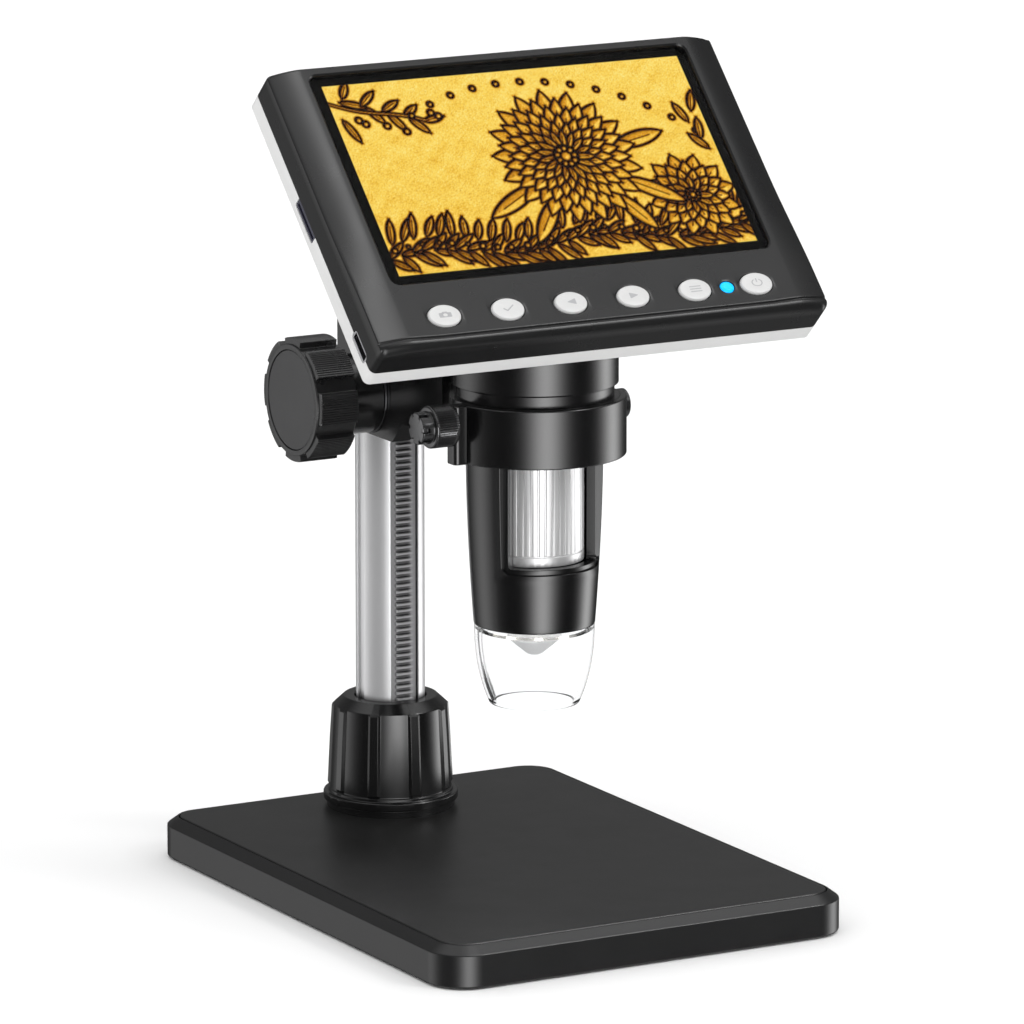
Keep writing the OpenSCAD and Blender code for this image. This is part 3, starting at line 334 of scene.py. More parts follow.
# %% Matt walls below a glossy face
def satin_walls(shader, normal, level, deep, shallow):
    """Gloss that fades from 0.55 to 0.2 between two depths, measured along normal from the plane at level."""
    tree = shader.id_data
    where = tree.nodes.new("ShaderNodeTexCoord")
    along = tree.nodes.new("ShaderNodeVectorMath")
    along.operation = "DOT_PRODUCT"
    along.inputs[1].default_value = normal
    tree.links.new(where.outputs["Object"], along.inputs[0])
    fade = tree.nodes.new("ShaderNodeMapRange")
    ends = (level - deep, level - shallow, 0.2, 0.55)
    for key, value in zip(("From Min", "From Max", "To Min", "To Max"), ends):
        fade.inputs[key].default_value = value
    tree.links.new(along.outputs["Value"], fade.inputs["Value"])
    tree.links.new(fade.outputs["Result"], shader.inputs["Specular IOR Level"])


FACE_NORMAL = (0, -0.71447, 0.69966)
FACE_LEVEL = 0.14098  # metres from the origin to the display's face, along its normal
DEEP, SHALLOW = 0.0042, 0.0026
satin_walls(bezel, FACE_NORMAL, FACE_LEVEL, DEEP, SHALLOW)
print("gloss fades from", round(SHALLOW / MM, 1), "to", round(DEEP / MM, 1), "mm below the display's face")

# %% [markdown]
# ## The base
# The base is a shallow black moulding with a thin painted plate let into its top. In a factory it is an
# injection-moulded tray, closed from below by a steel sheet. Here it is a stack of rounded rectangles:
# one drawn profile says how far each one is set in and how high it lies, and the arcs in that profile
# are the soft edges. The plate sits in the tray with a groove of 0.3 mm all round, which reads as a
# fine dark line.

# %% Stacked rounded rectangles
def rounded_rectangle(width, depth, radius, z):
    """Closed row of points: a rectangle about the z axis, with arcs of the given radius as corners."""
    w, d = width / 2, depth / 2
    path = fillet([(w, -d, radius), (w, d, radius), (-w, d, radius), (-w, -d, radius)], steps=8)
    return np.column_stack((path, np.full(len(path), z)))


def capped(rows):
    """Surface over closed rows, with the first and last row filled in."""
    points, faces = skin(rows)
    n, last = len(rows[0]), len(points)
    return points, faces.tolist() + [list(range(n)), list(range(last - n, last))]


def block(width, depth, radius, profile):
    """Closed block of rounded rectangles; the profile is a path of (inset, z)."""
    return capped([rounded_rectangle(width - 2 * i, depth - 2 * i, max(radius - i, 0.05), z)
                   for i, z in profile])


BASE_W, BASE_D, BASE_TOP, CORNER = 108.6, 148.6, 10.3, 9.5
UNDERSIDE, PLATE_SEAT = 0.4, 8.85
PLATE_W, PLATE_D, PLATE_CORNER = BASE_W - 6.2, BASE_D - 6.2, 6.4
FOOT_X, FOOT_Y = 30.3, 50.3
moulding = fillet([(2.4, 7.2, 0), (2.4, UNDERSIDE, 0), (0, UNDERSIDE, 0.6), (0, 8.2, 0.5),
                   (2.8, BASE_TOP, 0.2), (2.8, PLATE_SEAT, 0)], 5, closed=False)
piece("base_moulding", block(BASE_W, BASE_D, CORNER, moulding), "stand", "base_plastic", ["base_shell"])
plate = fillet([(1, PLATE_SEAT, 0), (0, PLATE_SEAT, 0), (0, BASE_TOP, 0.4), (2, BASE_TOP, 0)],
               6, closed=False)
piece("stage_top", block(PLATE_W, PLATE_D, PLATE_CORNER, plate), "stand", "stage_paint", ["stage_plate"])
foot = fillet([(0, 0.02, 0), (5, 0.02, 0), (6, 0.02, 0.2), (6, UNDERSIDE, 0), (0, UNDERSIDE, 0)],
              4, closed=False)
feet = [lathe(foot, (x, y, 0), segments=64) for x in (-FOOT_X, FOOT_X) for y in (-FOOT_Y, FOOT_Y)]
piece("feet", together(*feet), "stand", "rubber", ["rubber_feet"])

# %% [markdown]
# ## The column
# The column is drawn aluminium bar: a circle with a channel for the rack in front and a groove on either
# side. Its section is drawn once, corner by corner, and pulled straight up. The arcs between the
# notches are only sampled, since a fillet is wanted at the notches alone.

# %% Column, rack and top cap
COLUMN_Y, COLUMN_R, COLUMN_TOP, CAP_HEIGHT = 53.5, 8.4, 170.3, 3


def column_section():
    """Circle of COLUMN_R with a front channel 7.4 wide and side grooves 3.2 wide, as (x, y, radius)."""
    def arc(start, end):
        """Points of the circle between two angles in degrees, with no fillet."""
        a = np.radians(np.linspace(start, end, 2 + int(abs(end - start) / 4)))[1:-1]
        return [(COLUMN_R * x, COLUMN_R * y, 0) for x, y in zip(np.cos(a), np.sin(a))]
    lip, floor, side, deep = 3.7, -5.05, 1.6, 7.4
    lip_y, side_x = -sqrt(COLUMN_R ** 2 - lip ** 2), sqrt(COLUMN_R ** 2 - side ** 2)
    front, flank = degrees(np.arctan2(lip_y, lip)), degrees(np.arcsin(side / COLUMN_R))
    right = [(side_x, -side, 0.25), (deep, -side, 0.1), (deep, side, 0.1), (side_x, side, 0.25)]
    left = [(-x, -y, r) for x, y, r in right]
    return ([(lip, lip_y, 0.3)] + arc(front, -flank) + right + arc(flank, 180 - flank) + left
            + arc(180 + flank, 180 - front) + [(-lip, lip_y, 0.3), (-lip, floor, 0.3), (lip, floor, 0.3)])


section = fillet(column_section(), 4) + [0, COLUMN_Y]
bar_heights = np.linspace(BASE_TOP + 0.05, COLUMN_TOP, 12)
rows = [np.column_stack((section, np.full(len(section), z))) for z in bar_heights]
piece("column_bar", capped(rows), "stand", "column_alu", ["column"])
rounded_copy("rack_bar", "gear_rack", "stand", "rack_steel", 0.07, 2)
top = fillet([(0, COLUMN_TOP, 0), (COLUMN_R, COLUMN_TOP, 0.2), (COLUMN_R, COLUMN_TOP + CAP_HEIGHT, 0.8),
              (0, COLUMN_TOP + CAP_HEIGHT, 0)], 6, closed=False)
piece("column_top_cap", lathe(top, (0, COLUMN_Y, 0)), "stand", "knob_black", ["column_cap"])

# %% [markdown]
# ## The lock collar
# A ribbed nut grips the foot of the column. It would be moulded, with nine flat ribs for the fingers,
# and its top leans in towards the column. This is a turned surface whose radius also depends on the
# angle: each rib is a flat top with steep flanks, drawn as a small filleted path of its own. The columns
# of points are laid exactly where that path bends, so the edges stay crisp with few faces.

# %% Socket ring and ribbed nut
NUT_FOOT, NUT_TOP, SOCKET_TOP, RIBS = 12, 37.7, 32.9, 9
PITCH_R = 14.4  # radius at which the widths of ribs and lugs are measured
ring = fillet([(8.45, BASE_TOP + 0.02, 0), (15.6, BASE_TOP + 0.02, 0), (15.6, NUT_FOOT, 0.25),
               (10.55, NUT_FOOT, 0), (10.55, SOCKET_TOP, 0.2), (8.45, SOCKET_TOP, 0)], 4)
piece("socket_foot", lathe(np.vstack((ring, ring[:1])), (0, COLUMN_Y, 0)), "stand", "gloss_black",
      ["column_socket"])


def repeat_bumps(count, radius, path, panel, turn=0.0):
    """Angles and heights for count equal bumps round a circle. path holds (arc length, height) of one
    bump about its middle; panel is how many plain columns lie between bumps. Returns both arrays."""
    pitch = 2 * pi * radius / count
    s = np.append(path[:, 0], np.linspace(path[-1, 0], path[0, 0] + pitch, panel + 2)[1:-1])
    h = np.append(path[:, 1], np.full(panel, path[0, 1]))
    angles = (np.arange(count)[:, None] * pitch + s).ravel() / radius + radians(turn)
    return angles, np.tile(h, count)


def turned(profile, angles, heights, fade, at, axis="z"):
    """Closed turned ring: the radius of a profile point is r + heights(angle) * fade(point)."""
    r = profile[:, :1] + fade[:, None] * heights
    h = profile[:, 1:] + 0 * r
    flat = (r * np.cos(angles), r * np.sin(angles))
    return skin(np.stack((*flat, h) if axis == "z" else (h, *flat), -1) + np.array(at))


rib = fillet([(-2.2, 0, 0), (-1.6, 0, 0.2), (-1.0, 0.6, 0.16), (1.0, 0.6, 0.16), (1.6, 0, 0.2), (2.2, 0, 0)],
             3, closed=False)
nut = fillet([(8.75, NUT_FOOT, 0), (16.4, NUT_FOOT, 0.3), (16.4, 14, 0.35), (15.2, 14, 0.2),
              (15.2, 14.8, 0.15), (14.86, 14.8, 0.15), (14.84, 15.2, 0), (14.81, 15.7, 0), (14.2, 28, 0),
              (13.83, 35.0, 0), (13.80, 35.5, 0.25), (11.41, NUT_TOP, 0.3), (8.75, NUT_TOP, 0.25),
              (8.75, 33.35, 0), (10.65, 33.35, 0), (10.65, NUT_FOOT, 0)], 4)
nut = np.vstack((nut, nut[:1]))
outer = nut[:, 0] > 13
grip = np.where(outer, np.interp(nut[:, 1], [14.9, 15.6, 34.9, 35.45], [0, 1, 1, 0]), 0)
rib_angles, rib_heights = repeat_bumps(RIBS, PITCH_R, rib, 8, turn=25.5)
piece("lock_collar", turned(nut, rib_angles, rib_heights, grip, (0, COLUMN_Y, 0)), "lock_nut", "gloss_black",
      ["lock_nut"], sharp=24)

# %% [markdown]
# ## Carriage, arm and clamp ring
# The carriage is a block bored for the column, and the arm is bolted to it along a sloping joint. Both
# come straight from the mechanical model; only their sharp edges are broken, since a machined or moulded
# edge always catches a thin line of light. The band round the front of the ring is swept here along its
# arc, with rounded edges, and its lug for the thumbscrew is a small rounded block.

# %% Carriage, arm, band and lug
rounded_copy("carriage_block", "carriage", "carriage", "gloss_black", 0.25)
rounded_copy("arm_block", "carriage_arm", "carriage", "gloss_black", 0.22)
TUBE_Y, RING_Z, RING_TOP = -18, 110.7, 124.6
BAND_IN, BAND_OUT = 20.04, 21.58
edge = fillet([(BAND_IN, RING_Z, 0.1), (BAND_OUT, RING_Z, 0.35), (BAND_OUT, RING_TOP, 0.35),
               (BAND_IN, RING_TOP, 0.1)], 4)
sweep = np.radians(np.linspace(-165, -15, 91))[:, None]
arcs = np.stack((edge[:, 0] * np.cos(sweep), edge[:, 0] * np.sin(sweep) + TUBE_Y,
                 edge[:, 1] + 0 * sweep), -1)
band = capped(arcs)
LUG_LEFT, LUG_RIGHT, LUG_FRONT, LUG_BACK, LUG_HALF = -24.08, -19.2, -23.25, -19.15, 2.2
lug_plan = fillet([(LUG_RIGHT, LUG_FRONT, 0), (LUG_RIGHT, LUG_BACK, 0), (LUG_LEFT, LUG_BACK, 0.6),
                   (LUG_LEFT, LUG_FRONT, 1.2)], 6)
lug_profile = fillet([(0.6, RING_Z, 0), (0, RING_Z, 0.35), (0, RING_TOP, 0.35), (0.6, RING_TOP, 0)], 4, False)
middle = lug_plan.mean(0)
lug_rows = []
for inset, z in lug_profile:
    plan = middle + (lug_plan - middle) * (1 - inset / LUG_HALF)
    lug_rows.append(np.column_stack((plan, np.full(len(plan), z))))
piece("clamp_band_and_lug", together(band, capped(lug_rows)), "carriage", "gloss_black", ["clamp_band"])

# %% [markdown]
# ## Focus drive
# A shaft crosses the carriage and carries a knob at each end. Next to the carriage sit a bright washer
# and a black boss. The knobs have eight wide grip lugs with fine ridges, so the radius depends on the
# angle again. Everything here is turned about the X axis, and the left side is the mirror image.

# %% Washers, bosses, knobs and their caps
SHAFT = (0, 42.85, 115.6)


def both_sides(shape):
    """The shape, and its mirror image in x."""
    return together(shape, (shape[0] * [-1, 1, 1], shape[1]))


def ring_path(corners, steps=4):
    """Filleted closed path whose first point is repeated, for a ring that is turned."""
    path = fillet(corners, steps)
    return np.vstack((path, path[:1]))


SHAFT_HOLE = 2.1
washer = ring_path([(SHAFT_HOLE, 11.52, 0), (9.9, 11.52, 0.15), (9.9, 12.1, 0.15), (SHAFT_HOLE, 12.1, 0)])
piece("washers", both_sides(lathe(washer, SHAFT, "x", 160)), "carriage", "bright_metal", ["bearing_washers"])
boss = ring_path([(SHAFT_HOLE, 12.12, 0), (9.7, 12.12, 0.3), (9.7, 20.9, 0.45), (SHAFT_HOLE, 20.9, 0)])
piece("bosses", both_sides(lathe(boss, SHAFT, "x", 160)), "carriage", "gloss_black", ["bearing_bosses"])

LUGS, RIDGES, RIDGE_REACH, LUG_HEIGHT = 8, 13, 3.6, 1.48
KNOB_R, KNOB_START, KNOB_END, CAP_R = 13.48, 21.62, 32.4, 12.0
ridge_s = np.linspace(-RIDGE_REACH, RIDGE_REACH, RIDGES * 4 + 1)
ridge_h = LUG_HEIGHT - 0.02 - 0.06 * np.cos(pi * RIDGES * ridge_s / RIDGE_REACH)
flank = [(RIDGE_REACH, LUG_HEIGHT, 0), (3.8, LUG_HEIGHT, 0.2), (3.95, 0, 0.2), (4.6, 0, 0)]
lug_path = np.vstack((fillet([(-s, h, r) for s, h, r in flank[::-1]], 3, False),
                      np.column_stack((ridge_s, ridge_h))[1:-1], fillet(flank, 3, False)))
lug_reach = [22.02, 22.05, 22.3, 31.6, 31.85, 31.95, 31.98]
knob = ring_path([(SHAFT_HOLE, KNOB_START, 0), (KNOB_R, KNOB_START, 0.3)]
                 + [(KNOB_R, x, 0) for x in lug_reach]
                 + [(KNOB_R, KNOB_END, 0.25), (CAP_R + 0.07, KNOB_END, 0.15), (CAP_R + 0.07, 31.25, 0),
                    (SHAFT_HOLE, 31.25, 0)])
hold = np.interp(knob[:, 1], lug_reach, [0, 0.96, 1, 1, 0.985, 0.94, 0])
hold = np.where(knob[:, 0] > 12.8, hold, 0)
lug_angles, lug_heights = repeat_bumps(LUGS, PITCH_R, lug_path, 3)
right_knob = turned(knob, lug_angles, lug_heights, hold, SHAFT, "x")
cap = fillet([(0, 31.22, 0), (CAP_R, 31.22, 0), (CAP_R, 32.2, 0.25), (0, 32.2, 0)], 4, closed=False)
right_cap = lathe(cap, SHAFT, "x", 160)
for side, flip in (("right", 1), ("left", -1)):
    piece("grip_knob_" + side, (right_knob[0] * [flip, 1, 1], right_knob[1]), "focus_drive", "knob_black",
          ["knob_" + side], sharp=30)
    piece("knob_plate_" + side, (right_cap[0] * [flip, 1, 1], right_cap[1]), "focus_drive", "knob_cap",
          ["knob_cap_" + side])

# %% [markdown]
# ## Thumbscrew and side screw
# The thumbscrew closes the clamp. Its head is knurled: fine straight ridges rolled into the metal. The
# ridges are a triangle wave on the radius, 56 to a turn. A narrower stub with six slots stands out
# beyond the head.

# %% Knurled thumbscrew, small side screw
LUG_Y, THUMB_Z = -21.2, 120.1
KNURLS, SLOTS, STEM_R, HEAD_R, STUB_R = 56, 6, 1.5, 5, 3.8
screw = np.vstack((
    [(0, -18.2), (STEM_R, -18.2), (STEM_R, -24.05)],
    fillet([(STEM_R, -24.05, 0), (HEAD_R, -24.05, 0.35), (HEAD_R, -30.28, 0.5), (STUB_R, -30.28, 0.1),
            (STUB_R, -33.28, 0.35), (0, -33.28, 0)], 4, closed=False)[1:]))
extra = np.array([(HEAD_R, x) for x in (-24.9, -25.0, -29.4, -29.5)] + [(STUB_R, x) for x in (-31.5, -31.7)])
order = np.argsort(-np.append(screw[:, 1], extra[:, 1]), kind="stable")
screw = np.vstack((screw, extra))[order]


def knurl(a, h):
    """Radius change of the screw: ridges on the head, and slots cut into the end of the stub."""
    wave = np.abs((a * KNURLS / (2 * pi)) % 1 - 0.5) * 2
    head = -0.22 * wave * np.interp(h, [-29.9, -29.4, -24.9, -24.4], [0, 1, 1, 0])
    off_slot = np.abs(((a * SLOTS / (2 * pi) + 0.5) % 1 - 0.5) * 2 * pi * STUB_R / SLOTS)
    slots = np.clip((0.6 - off_slot) / 0.1, 0, 1)
    return head - 0.75 * slots * np.interp(h, [-31.7, -31.5], [1, 0])


piece("thumb_knob", lathe(screw, (0, LUG_Y, THUMB_Z), "x", 8 * KNURLS, knurl), "thumbscrew", "screw_black",
      ["thumbscrew"], sharp=50, weighted=False)
rounded_copy("side_grip_screw", "side_screw", "side_screw", "screw_black", 0.2)

# %% [markdown]
# ## Sheets with holes
# The barrel has a stepped window, and the display's front has a window, six key holes and a lamp hole.
# One idea serves both. Lay a grid of points over the surface, leave out a rectangle of faces, and join
# the rectangle's rim to a loop of the wanted shape with as many points. Each rim point is sent to the
# loop by scaling it about the hole's middle, so the faces between stay tidy.

# %% Holes in a grid
def rim(rows, columns):
    """Index pairs (row, column) round the rim of a block of a grid, given as two index ranges, in order."""
    (a, b), (c, d) = rows, columns
    return ([(a, j) for j in range(c, d)] + [(i, d) for i in range(a, b)]
            + [(b, j) for j in range(d, c, -1)] + [(i, c) for i in range(b, a, -1)])


def to_rounded(points, half, radius, low_only=False):
    """Sends points on the rim of the square -1..1 to a rounded rectangle with the given half sizes.
    A corner point is moved towards the corner's arc; low_only leaves the two upper corners sharp."""
    p = points * half
    inner = np.array(half) - radius
    over = np.maximum(np.abs(p) - inner, 0)
    corner = (over > 0).all(1) & ((p[:, 1] < 0) | (not low_only))
    size = np.hypot(*over.T)
    scale = np.where(corner, radius / np.where(size > 0, size, 1), 1)[:, None]
    return np.where(corner[:, None], np.sign(p) * (inner + over * scale), p)


def to_circle(points, radius):
    """Sends points on the rim of the square -1..1 to a circle, at even angles along each side."""
    a, b = points.T
    side_on = np.abs(a) >= np.abs(b)
    angle = np.where(side_on, b / np.where(side_on, a, 1) * pi / 4 + np.where(a > 0, 0, pi),
                     pi / 2 * np.sign(b) - a / np.where(side_on, 1, b) * pi / 4)
    return radius * np.column_stack((np.cos(angle), np.sin(angle)))


def join_loops(first, second):
    """Faces between two closed loops of equally many points, given the index of each loop's points."""
    return np.stack((first, np.roll(first, -1), np.roll(second, -1), second), 1)


print("the square's corner (1, 1) goes to", to_circle(np.ones((1, 2)), 1).round(3)[0], "on the circle")

# %% [markdown]
# ## The barrel
# The barrel is one turned shell, polished black and slightly wider at the top, with a window cut
# through it for the focusing wheel. A step runs round the window, as a moulded lip would. Outer and
# inner wall are the same grid twice, and both lose the same rectangle of faces. The loops between them
# are the step and the reveal.

# %% Grid of the barrel
TUBE = np.array([0, TUBE_Y, 0])
BARREL_END, BARREL_LENGTH, BARREL_IN, BARREL_R, TAPER = 70.0, 40.7, 12.0, 16.1, 1.8
WINDOW_SIDE, WINDOW_LOW, WINDOW_HIGH = 66, 82.6, 111.3  # the rectangle that is left out of the grid


def barrel_radius(z):
    """Outer radius: BARREL_R under the ring, less TAPER (1 - t)^1.7 at the fraction t of the length."""
    t = np.clip((z - BARREL_END) / BARREL_LENGTH, 0, 1)
    return BARREL_R - TAPER * (1 - t) ** 1.7


def on_barrel(angle, z, radius):
    """Points at an angle in degrees from the front, turning to the right, at a height and a radius."""
    a = np.radians(angle - 90)
    return np.stack((radius * np.cos(a), radius * np.sin(a), z + 0 * a), -1) + TUBE


def lines(stops, steps):
    """Grid lines through the stops, with the given number of steps between each pair."""
    parts = [np.linspace(a, b, k + 1)[:-1] for a, b, k in zip(stops, stops[1:], steps)]
    return np.append(np.concatenate(parts), stops[-1])


around_steps = [37, 16, 40, 16, 37]
around = lines([-180, -WINDOW_SIDE, -50, 50, WINDOW_SIDE, 180], around_steps)[:-1]
heights = lines([70.3, WINDOW_LOW, 88, 110, WINDOW_HIGH, 112.2], [11, 18, 11, 2, 1])
open_rows = tuple(int(np.argmin(np.abs(heights - z))) for z in (WINDOW_LOW, WINDOW_HIGH))
open_columns = (around_steps[0], sum(around_steps[:4]))
n = len(around)
outer_wall = np.column_stack((barrel_radius(heights), heights))
inner_wall = np.column_stack((np.full(len(heights), BARREL_IN), heights))[::-1]
profile = np.vstack(([(13.0, BARREL_END), (14.05, BARREL_END), (14.2, 70.1)], outer_wall,
                     [(17.7, 112.2), (17.9, 112.4), (17.9, RING_TOP), (BARREL_IN, RING_TOP)],
                     inner_wall, [(BARREL_IN, BARREL_END)]))
z_grid = profile[:, 1:] + 0 * around
points = on_barrel(around + 0 * z_grid, z_grid, profile[:, :1]).reshape(-1, 3)
faces = grid_faces(len(profile) + 1, n) % len(points)
print("barrel grid:", len(profile), "by", n, "points")

# %% [markdown]
# Two rectangles of faces are left out, one in the outer wall and one in the inner wall. Six loops lead
# from one to the other: over a broken edge, down to the step, along it, over a second edge and through
# the wall.

# %% Window of the barrel
first_outer, first_inner = 3, 3 + len(heights) + 4
keep = np.ones((len(profile), n), bool)
for row in range(*open_rows):
    keep[first_outer + row, open_columns[0]:open_columns[1]] = False
    keep[first_inner + len(heights) - 2 - row, open_columns[0]:open_columns[1]] = False
faces = faces[keep.ravel()]
loop = np.array(rim(open_rows, open_columns))
outer_loop = (first_outer + loop[:, 0]) * n + loop[:, 1]
inner_loop = (first_inner + len(heights) - 1 - loop[:, 0]) * n + loop[:, 1]
low_z, high_z = heights[open_rows[0]], heights[open_rows[1]]
middle_z, half_z = (low_z + high_z) / 2, (high_z - low_z) / 2
square = np.column_stack((around[loop[:, 1]] / WINDOW_SIDE, (heights[loop[:, 0]] - middle_z) / half_z))
CORNER_R = 15.4  # the barrel's radius near the window's lower corners, which are rounded in mm
MM_PER_DEGREE = radians(1) * CORNER_R


def window_loop(half_angle, low, high, corner, radius=None):
    """Loop of the window: half_angle in degrees, from height low to high, lower corners rounded."""
    flat = to_rounded(square, (half_angle * MM_PER_DEGREE, (high - low) / 2), corner, low_only=True)
    z = flat[:, 1] + (high + low) / 2
    return on_barrel(flat[:, 0] / MM_PER_DEGREE, z, barrel_radius(z) if radius is None else radius)


STEP_R = 14.5
edge_z = window_loop(59.5, 84.2, 110.4, 1.9)[:, 2]
loops = [window_loop(59.9, 84.1, 110.45, 2.0),
         window_loop(59.5, 84.2, 110.4, 1.9, barrel_radius(edge_z) - 0.12),
         window_loop(59.4, 84.25, 110.4, 1.85, STEP_R),
         window_loop(54.8, 85.3, 110.38, 1.3, STEP_R),
         window_loop(54.5, 85.4, 110.36, 1.2, STEP_R - 0.15),
         window_loop(54.5, 85.4, 110.36, 1.2, 12.3)]
starts = [len(points) + i * len(loop) for i in range(len(loops))]
chain = [outer_loop] + [np.arange(s, s + len(loop)) for s in starts] + [inner_loop]
faces = np.vstack([faces] + [join_loops(a, b) for a, b in zip(chain, chain[1:])])
piece("barrel", (np.vstack([points] + loops), faces), "microscope", "gloss_black", ["barrel_shell"], sharp=32)

# %% [markdown]
# ## Focusing wheel, light guide and clear cap
# Behind the window turns a bright wheel with 44 straight ribs. Below the barrel hangs a clear plastic
# cap that keeps the subject at the right distance. It is one closed wall, outside and inside, because
# glass without thickness bends no light. In its mouth sit the white lamp board and a frosted cone.

# %% Wheel, cone and cap
WHEEL_IN, WHEEL_R, WHEEL_LOW, WHEEL_HIGH, GROOVES = 8.9, 11.7, 85.4, 110.3, 44
groove = np.array([(-0.30, 0), (-0.2, -0.1), (-0.1, -0.32), (0.1, -0.32), (0.2, -0.1), (0.30, 0)])
wheel = ring_path([(WHEEL_IN, WHEEL_LOW, 0), (WHEEL_R, WHEEL_LOW, 0.25), (WHEEL_R, 87.7, 0.1),
                   (11.55, 87.8, 0.05), (11.55, 88.0, 0.05), (WHEEL_R, 88.1, 0.1),
                   (WHEEL_R, WHEEL_HIGH, 0.25), (WHEEL_IN, WHEEL_HIGH, 0)], 3)
wheel_angles, wheel_heights = repeat_bumps(GROOVES, WHEEL_R, groove, 2)
grooved = np.where(wheel[:, 0] > 11, np.interp(wheel[:, 1], [88.05, 88.2], [0, 1]), 0)
piece("ribbed_wheel", turned(wheel, wheel_angles, wheel_heights, grooved, TUBE), "focus_wheel",
      "wheel_silver", ["focus_wheel"], sharp=40)
cone = fillet([(0, 62.3, 0), (1.4, 62.35, 0.4), (2.0, 62.65, 0.5), (6.4, 66.3, 0.4), (6.4, 71.35, 0.1),
               (0, 71.35, 0)], 5, closed=False)
piece("light_guide", lathe(cone, TUBE, segments=96), "microscope", "frosted", ["light_cone"])

SPACER_LENGTH, SPACER_WALL, COLLAR_TOP, COLLAR_IN = 19.2, 1.5, 71.25, 11.1
fall = np.linspace(0, 1, 22)
outside = np.column_stack((14.2 - 3.6 * fall ** 2.3, BARREL_END - SPACER_LENGTH * fall))
inside = outside[::-1] - [SPACER_WALL, 0]
lip_path = fillet([(*outside[-2], 0), (*outside[-1], 0.45), (*inside[0], 0.45), (*inside[1], 0)],
                  5, closed=False)
cap_profile = np.vstack(([(BARREL_IN, COLLAR_TOP), (BARREL_IN, 70.05), (14.18, 69.98)],
                         outside[1:-1], lip_path[1:-1], inside[1:-2],
                         [(inside[-1, 0], 68.3), (COLLAR_IN, 68.6), (COLLAR_IN, COLLAR_TOP),
                          (BARREL_IN, COLLAR_TOP)]))
piece("clear_spacer", lathe(cap_profile, TUBE, segments=160), "microscope", "clear", ["clear_cap"],
      weighted=False)

# %% [markdown]
# ## The neck
# The wide neck carries the display. Its foot is a little narrower, which draws a dark line above the
# ring, and its top is cut to the slanting back of the display. For every angle round the neck, the
# height where it meets the display's back is looked up, and the last row of points is put there.

# %% The display's own frame, and the neck
LEAN = radians(44.4)
DISPLAY = np.array([0, -21.1, 179.95])


def screen(u, v, w):
    """Point of the display's frame: u to the right, v up the screen, w out of the screen."""
    u, v, w = np.broadcast_arrays(np.asarray(u, float), v, w)
    return np.stack((u, sin(LEAN) * v - cos(LEAN) * w, cos(LEAN) * v + sin(LEAN) * w), -1) + DISPLAY


def screen_vw(points):
    """Coordinates v and w of points."""
    d = points - DISPLAY
    return d[..., 1] * sin(LEAN) + d[..., 2] * cos(LEAN), d[..., 2] * sin(LEAN) - d[..., 1] * cos(LEAN)


SEAM, RIM_BACK, HUMP_BACK = -9.2, -13.8, -19.2
NECK_R, NECK_FOOT, NECK_PLAIN = 19.7, 124.62, 133
turn = np.linspace(0, 2 * pi, 144, endpoint=False)


def neck_row(radius, z):
    """Points round the tube's axis at a radius and a height, or at a height for each angle."""
    z = z + 0 * turn
    return np.stack((radius * np.cos(turn) + 0 * z, radius * np.sin(turn) + TUBE_Y + 0 * z, z), -1)


climb = np.arange(130, 190, 0.05)[:, None]
v, w = screen_vw(neck_row(NECK_R, climb))
back = np.where((v > -29.5) & (v < 2), HUMP_BACK + 0.5, RIM_BACK + 0.5)
meet = climb[np.argmax(w > back, axis=0), 0]
neck_profile = fillet([(16.4, NECK_FOOT, 0), (18.7, NECK_FOOT, 0.1), (18.7, 127.5, 0.3),
                       (NECK_R, 127.65, 0.25), (NECK_R, NECK_PLAIN, 0)], 4, closed=False)
neck_rows = [neck_row(r, z) for r, z in neck_profile]
neck_rows += [neck_row(NECK_R, NECK_PLAIN + (meet - NECK_PLAIN) * t) for t in np.linspace(0.02, 1, 14)]
piece("neck_housing", capped(neck_rows), "microscope", "gloss_black", ["neck"])

# %% [markdown]
# ## The display's front shell
# The dark front shell is a height field: for every point (u, v) of the display's face there is one
# height w. The face is flat in the middle, slopes away towards both sides higher up, has a small bevel
# along the top and rolls over into the bottom wall with a fine crease above the roll. The holes are
# made as on the barrel. The rim of the sheet then drops to the seam, so the shell is closed.

# %% Height of the front shell
HALF_U, LOW, HIGH, FACE_CORNER, BEVEL_V = 59.17, -47.0, 32.5, 1.6, 31.3
SLOPE_START, SLOPE_WIDTH, SLOPE_DROP = 51.2, 8, 2.2
CREASE_DEPTH, CREASE_WIDTH, CREASE_GAP = 0.35, 0.26, 0.22


def face_height(u, v):
    """w of the front: side slope, top bevel, crease and the roll of radius r at the bottom edge."""
    t = np.clip((np.abs(u) - SLOPE_START) / SLOPE_WIDTH, 0, 1)
    slope = (0.5 + 0.5 * smooth(v, -38, -8)) * SLOPE_DROP * t ** 1.5
    r = roll_radius(u)
    d = np.clip(v - LOW, 0, None)
    roll = np.where(d < r, r - np.sqrt(np.maximum(r * r - (r - np.minimum(d, r)) ** 2, 0)), 0)
    crease = CREASE_DEPTH * np.exp(-((d - r - CREASE_GAP) / CREASE_WIDTH) ** 2)
    return -slope - roll - crease - np.clip(v - BEVEL_V, 0, None)


def roll_radius(u):
    """Radius of the roll along the bottom edge, a little larger towards the ends."""
    return 2.1 + 0.3 * smooth(np.abs(u), 42, 54)


KEY_V, KEY_A, KEY_B, LAMP_U = -39.3, 4.2, 2.95, 34.07
KEY_PITCH, KEY_MIDDLE = 16.5, 0.57
KEY_US = [KEY_MIDDLE + (i - 2.5) * KEY_PITCH for i in range(6)]
KEY_NAMES = ["camera", "confirm", "left", "right", "menu", "power"]
print("keys at u =", [round(u, 2) for u in KEY_US])

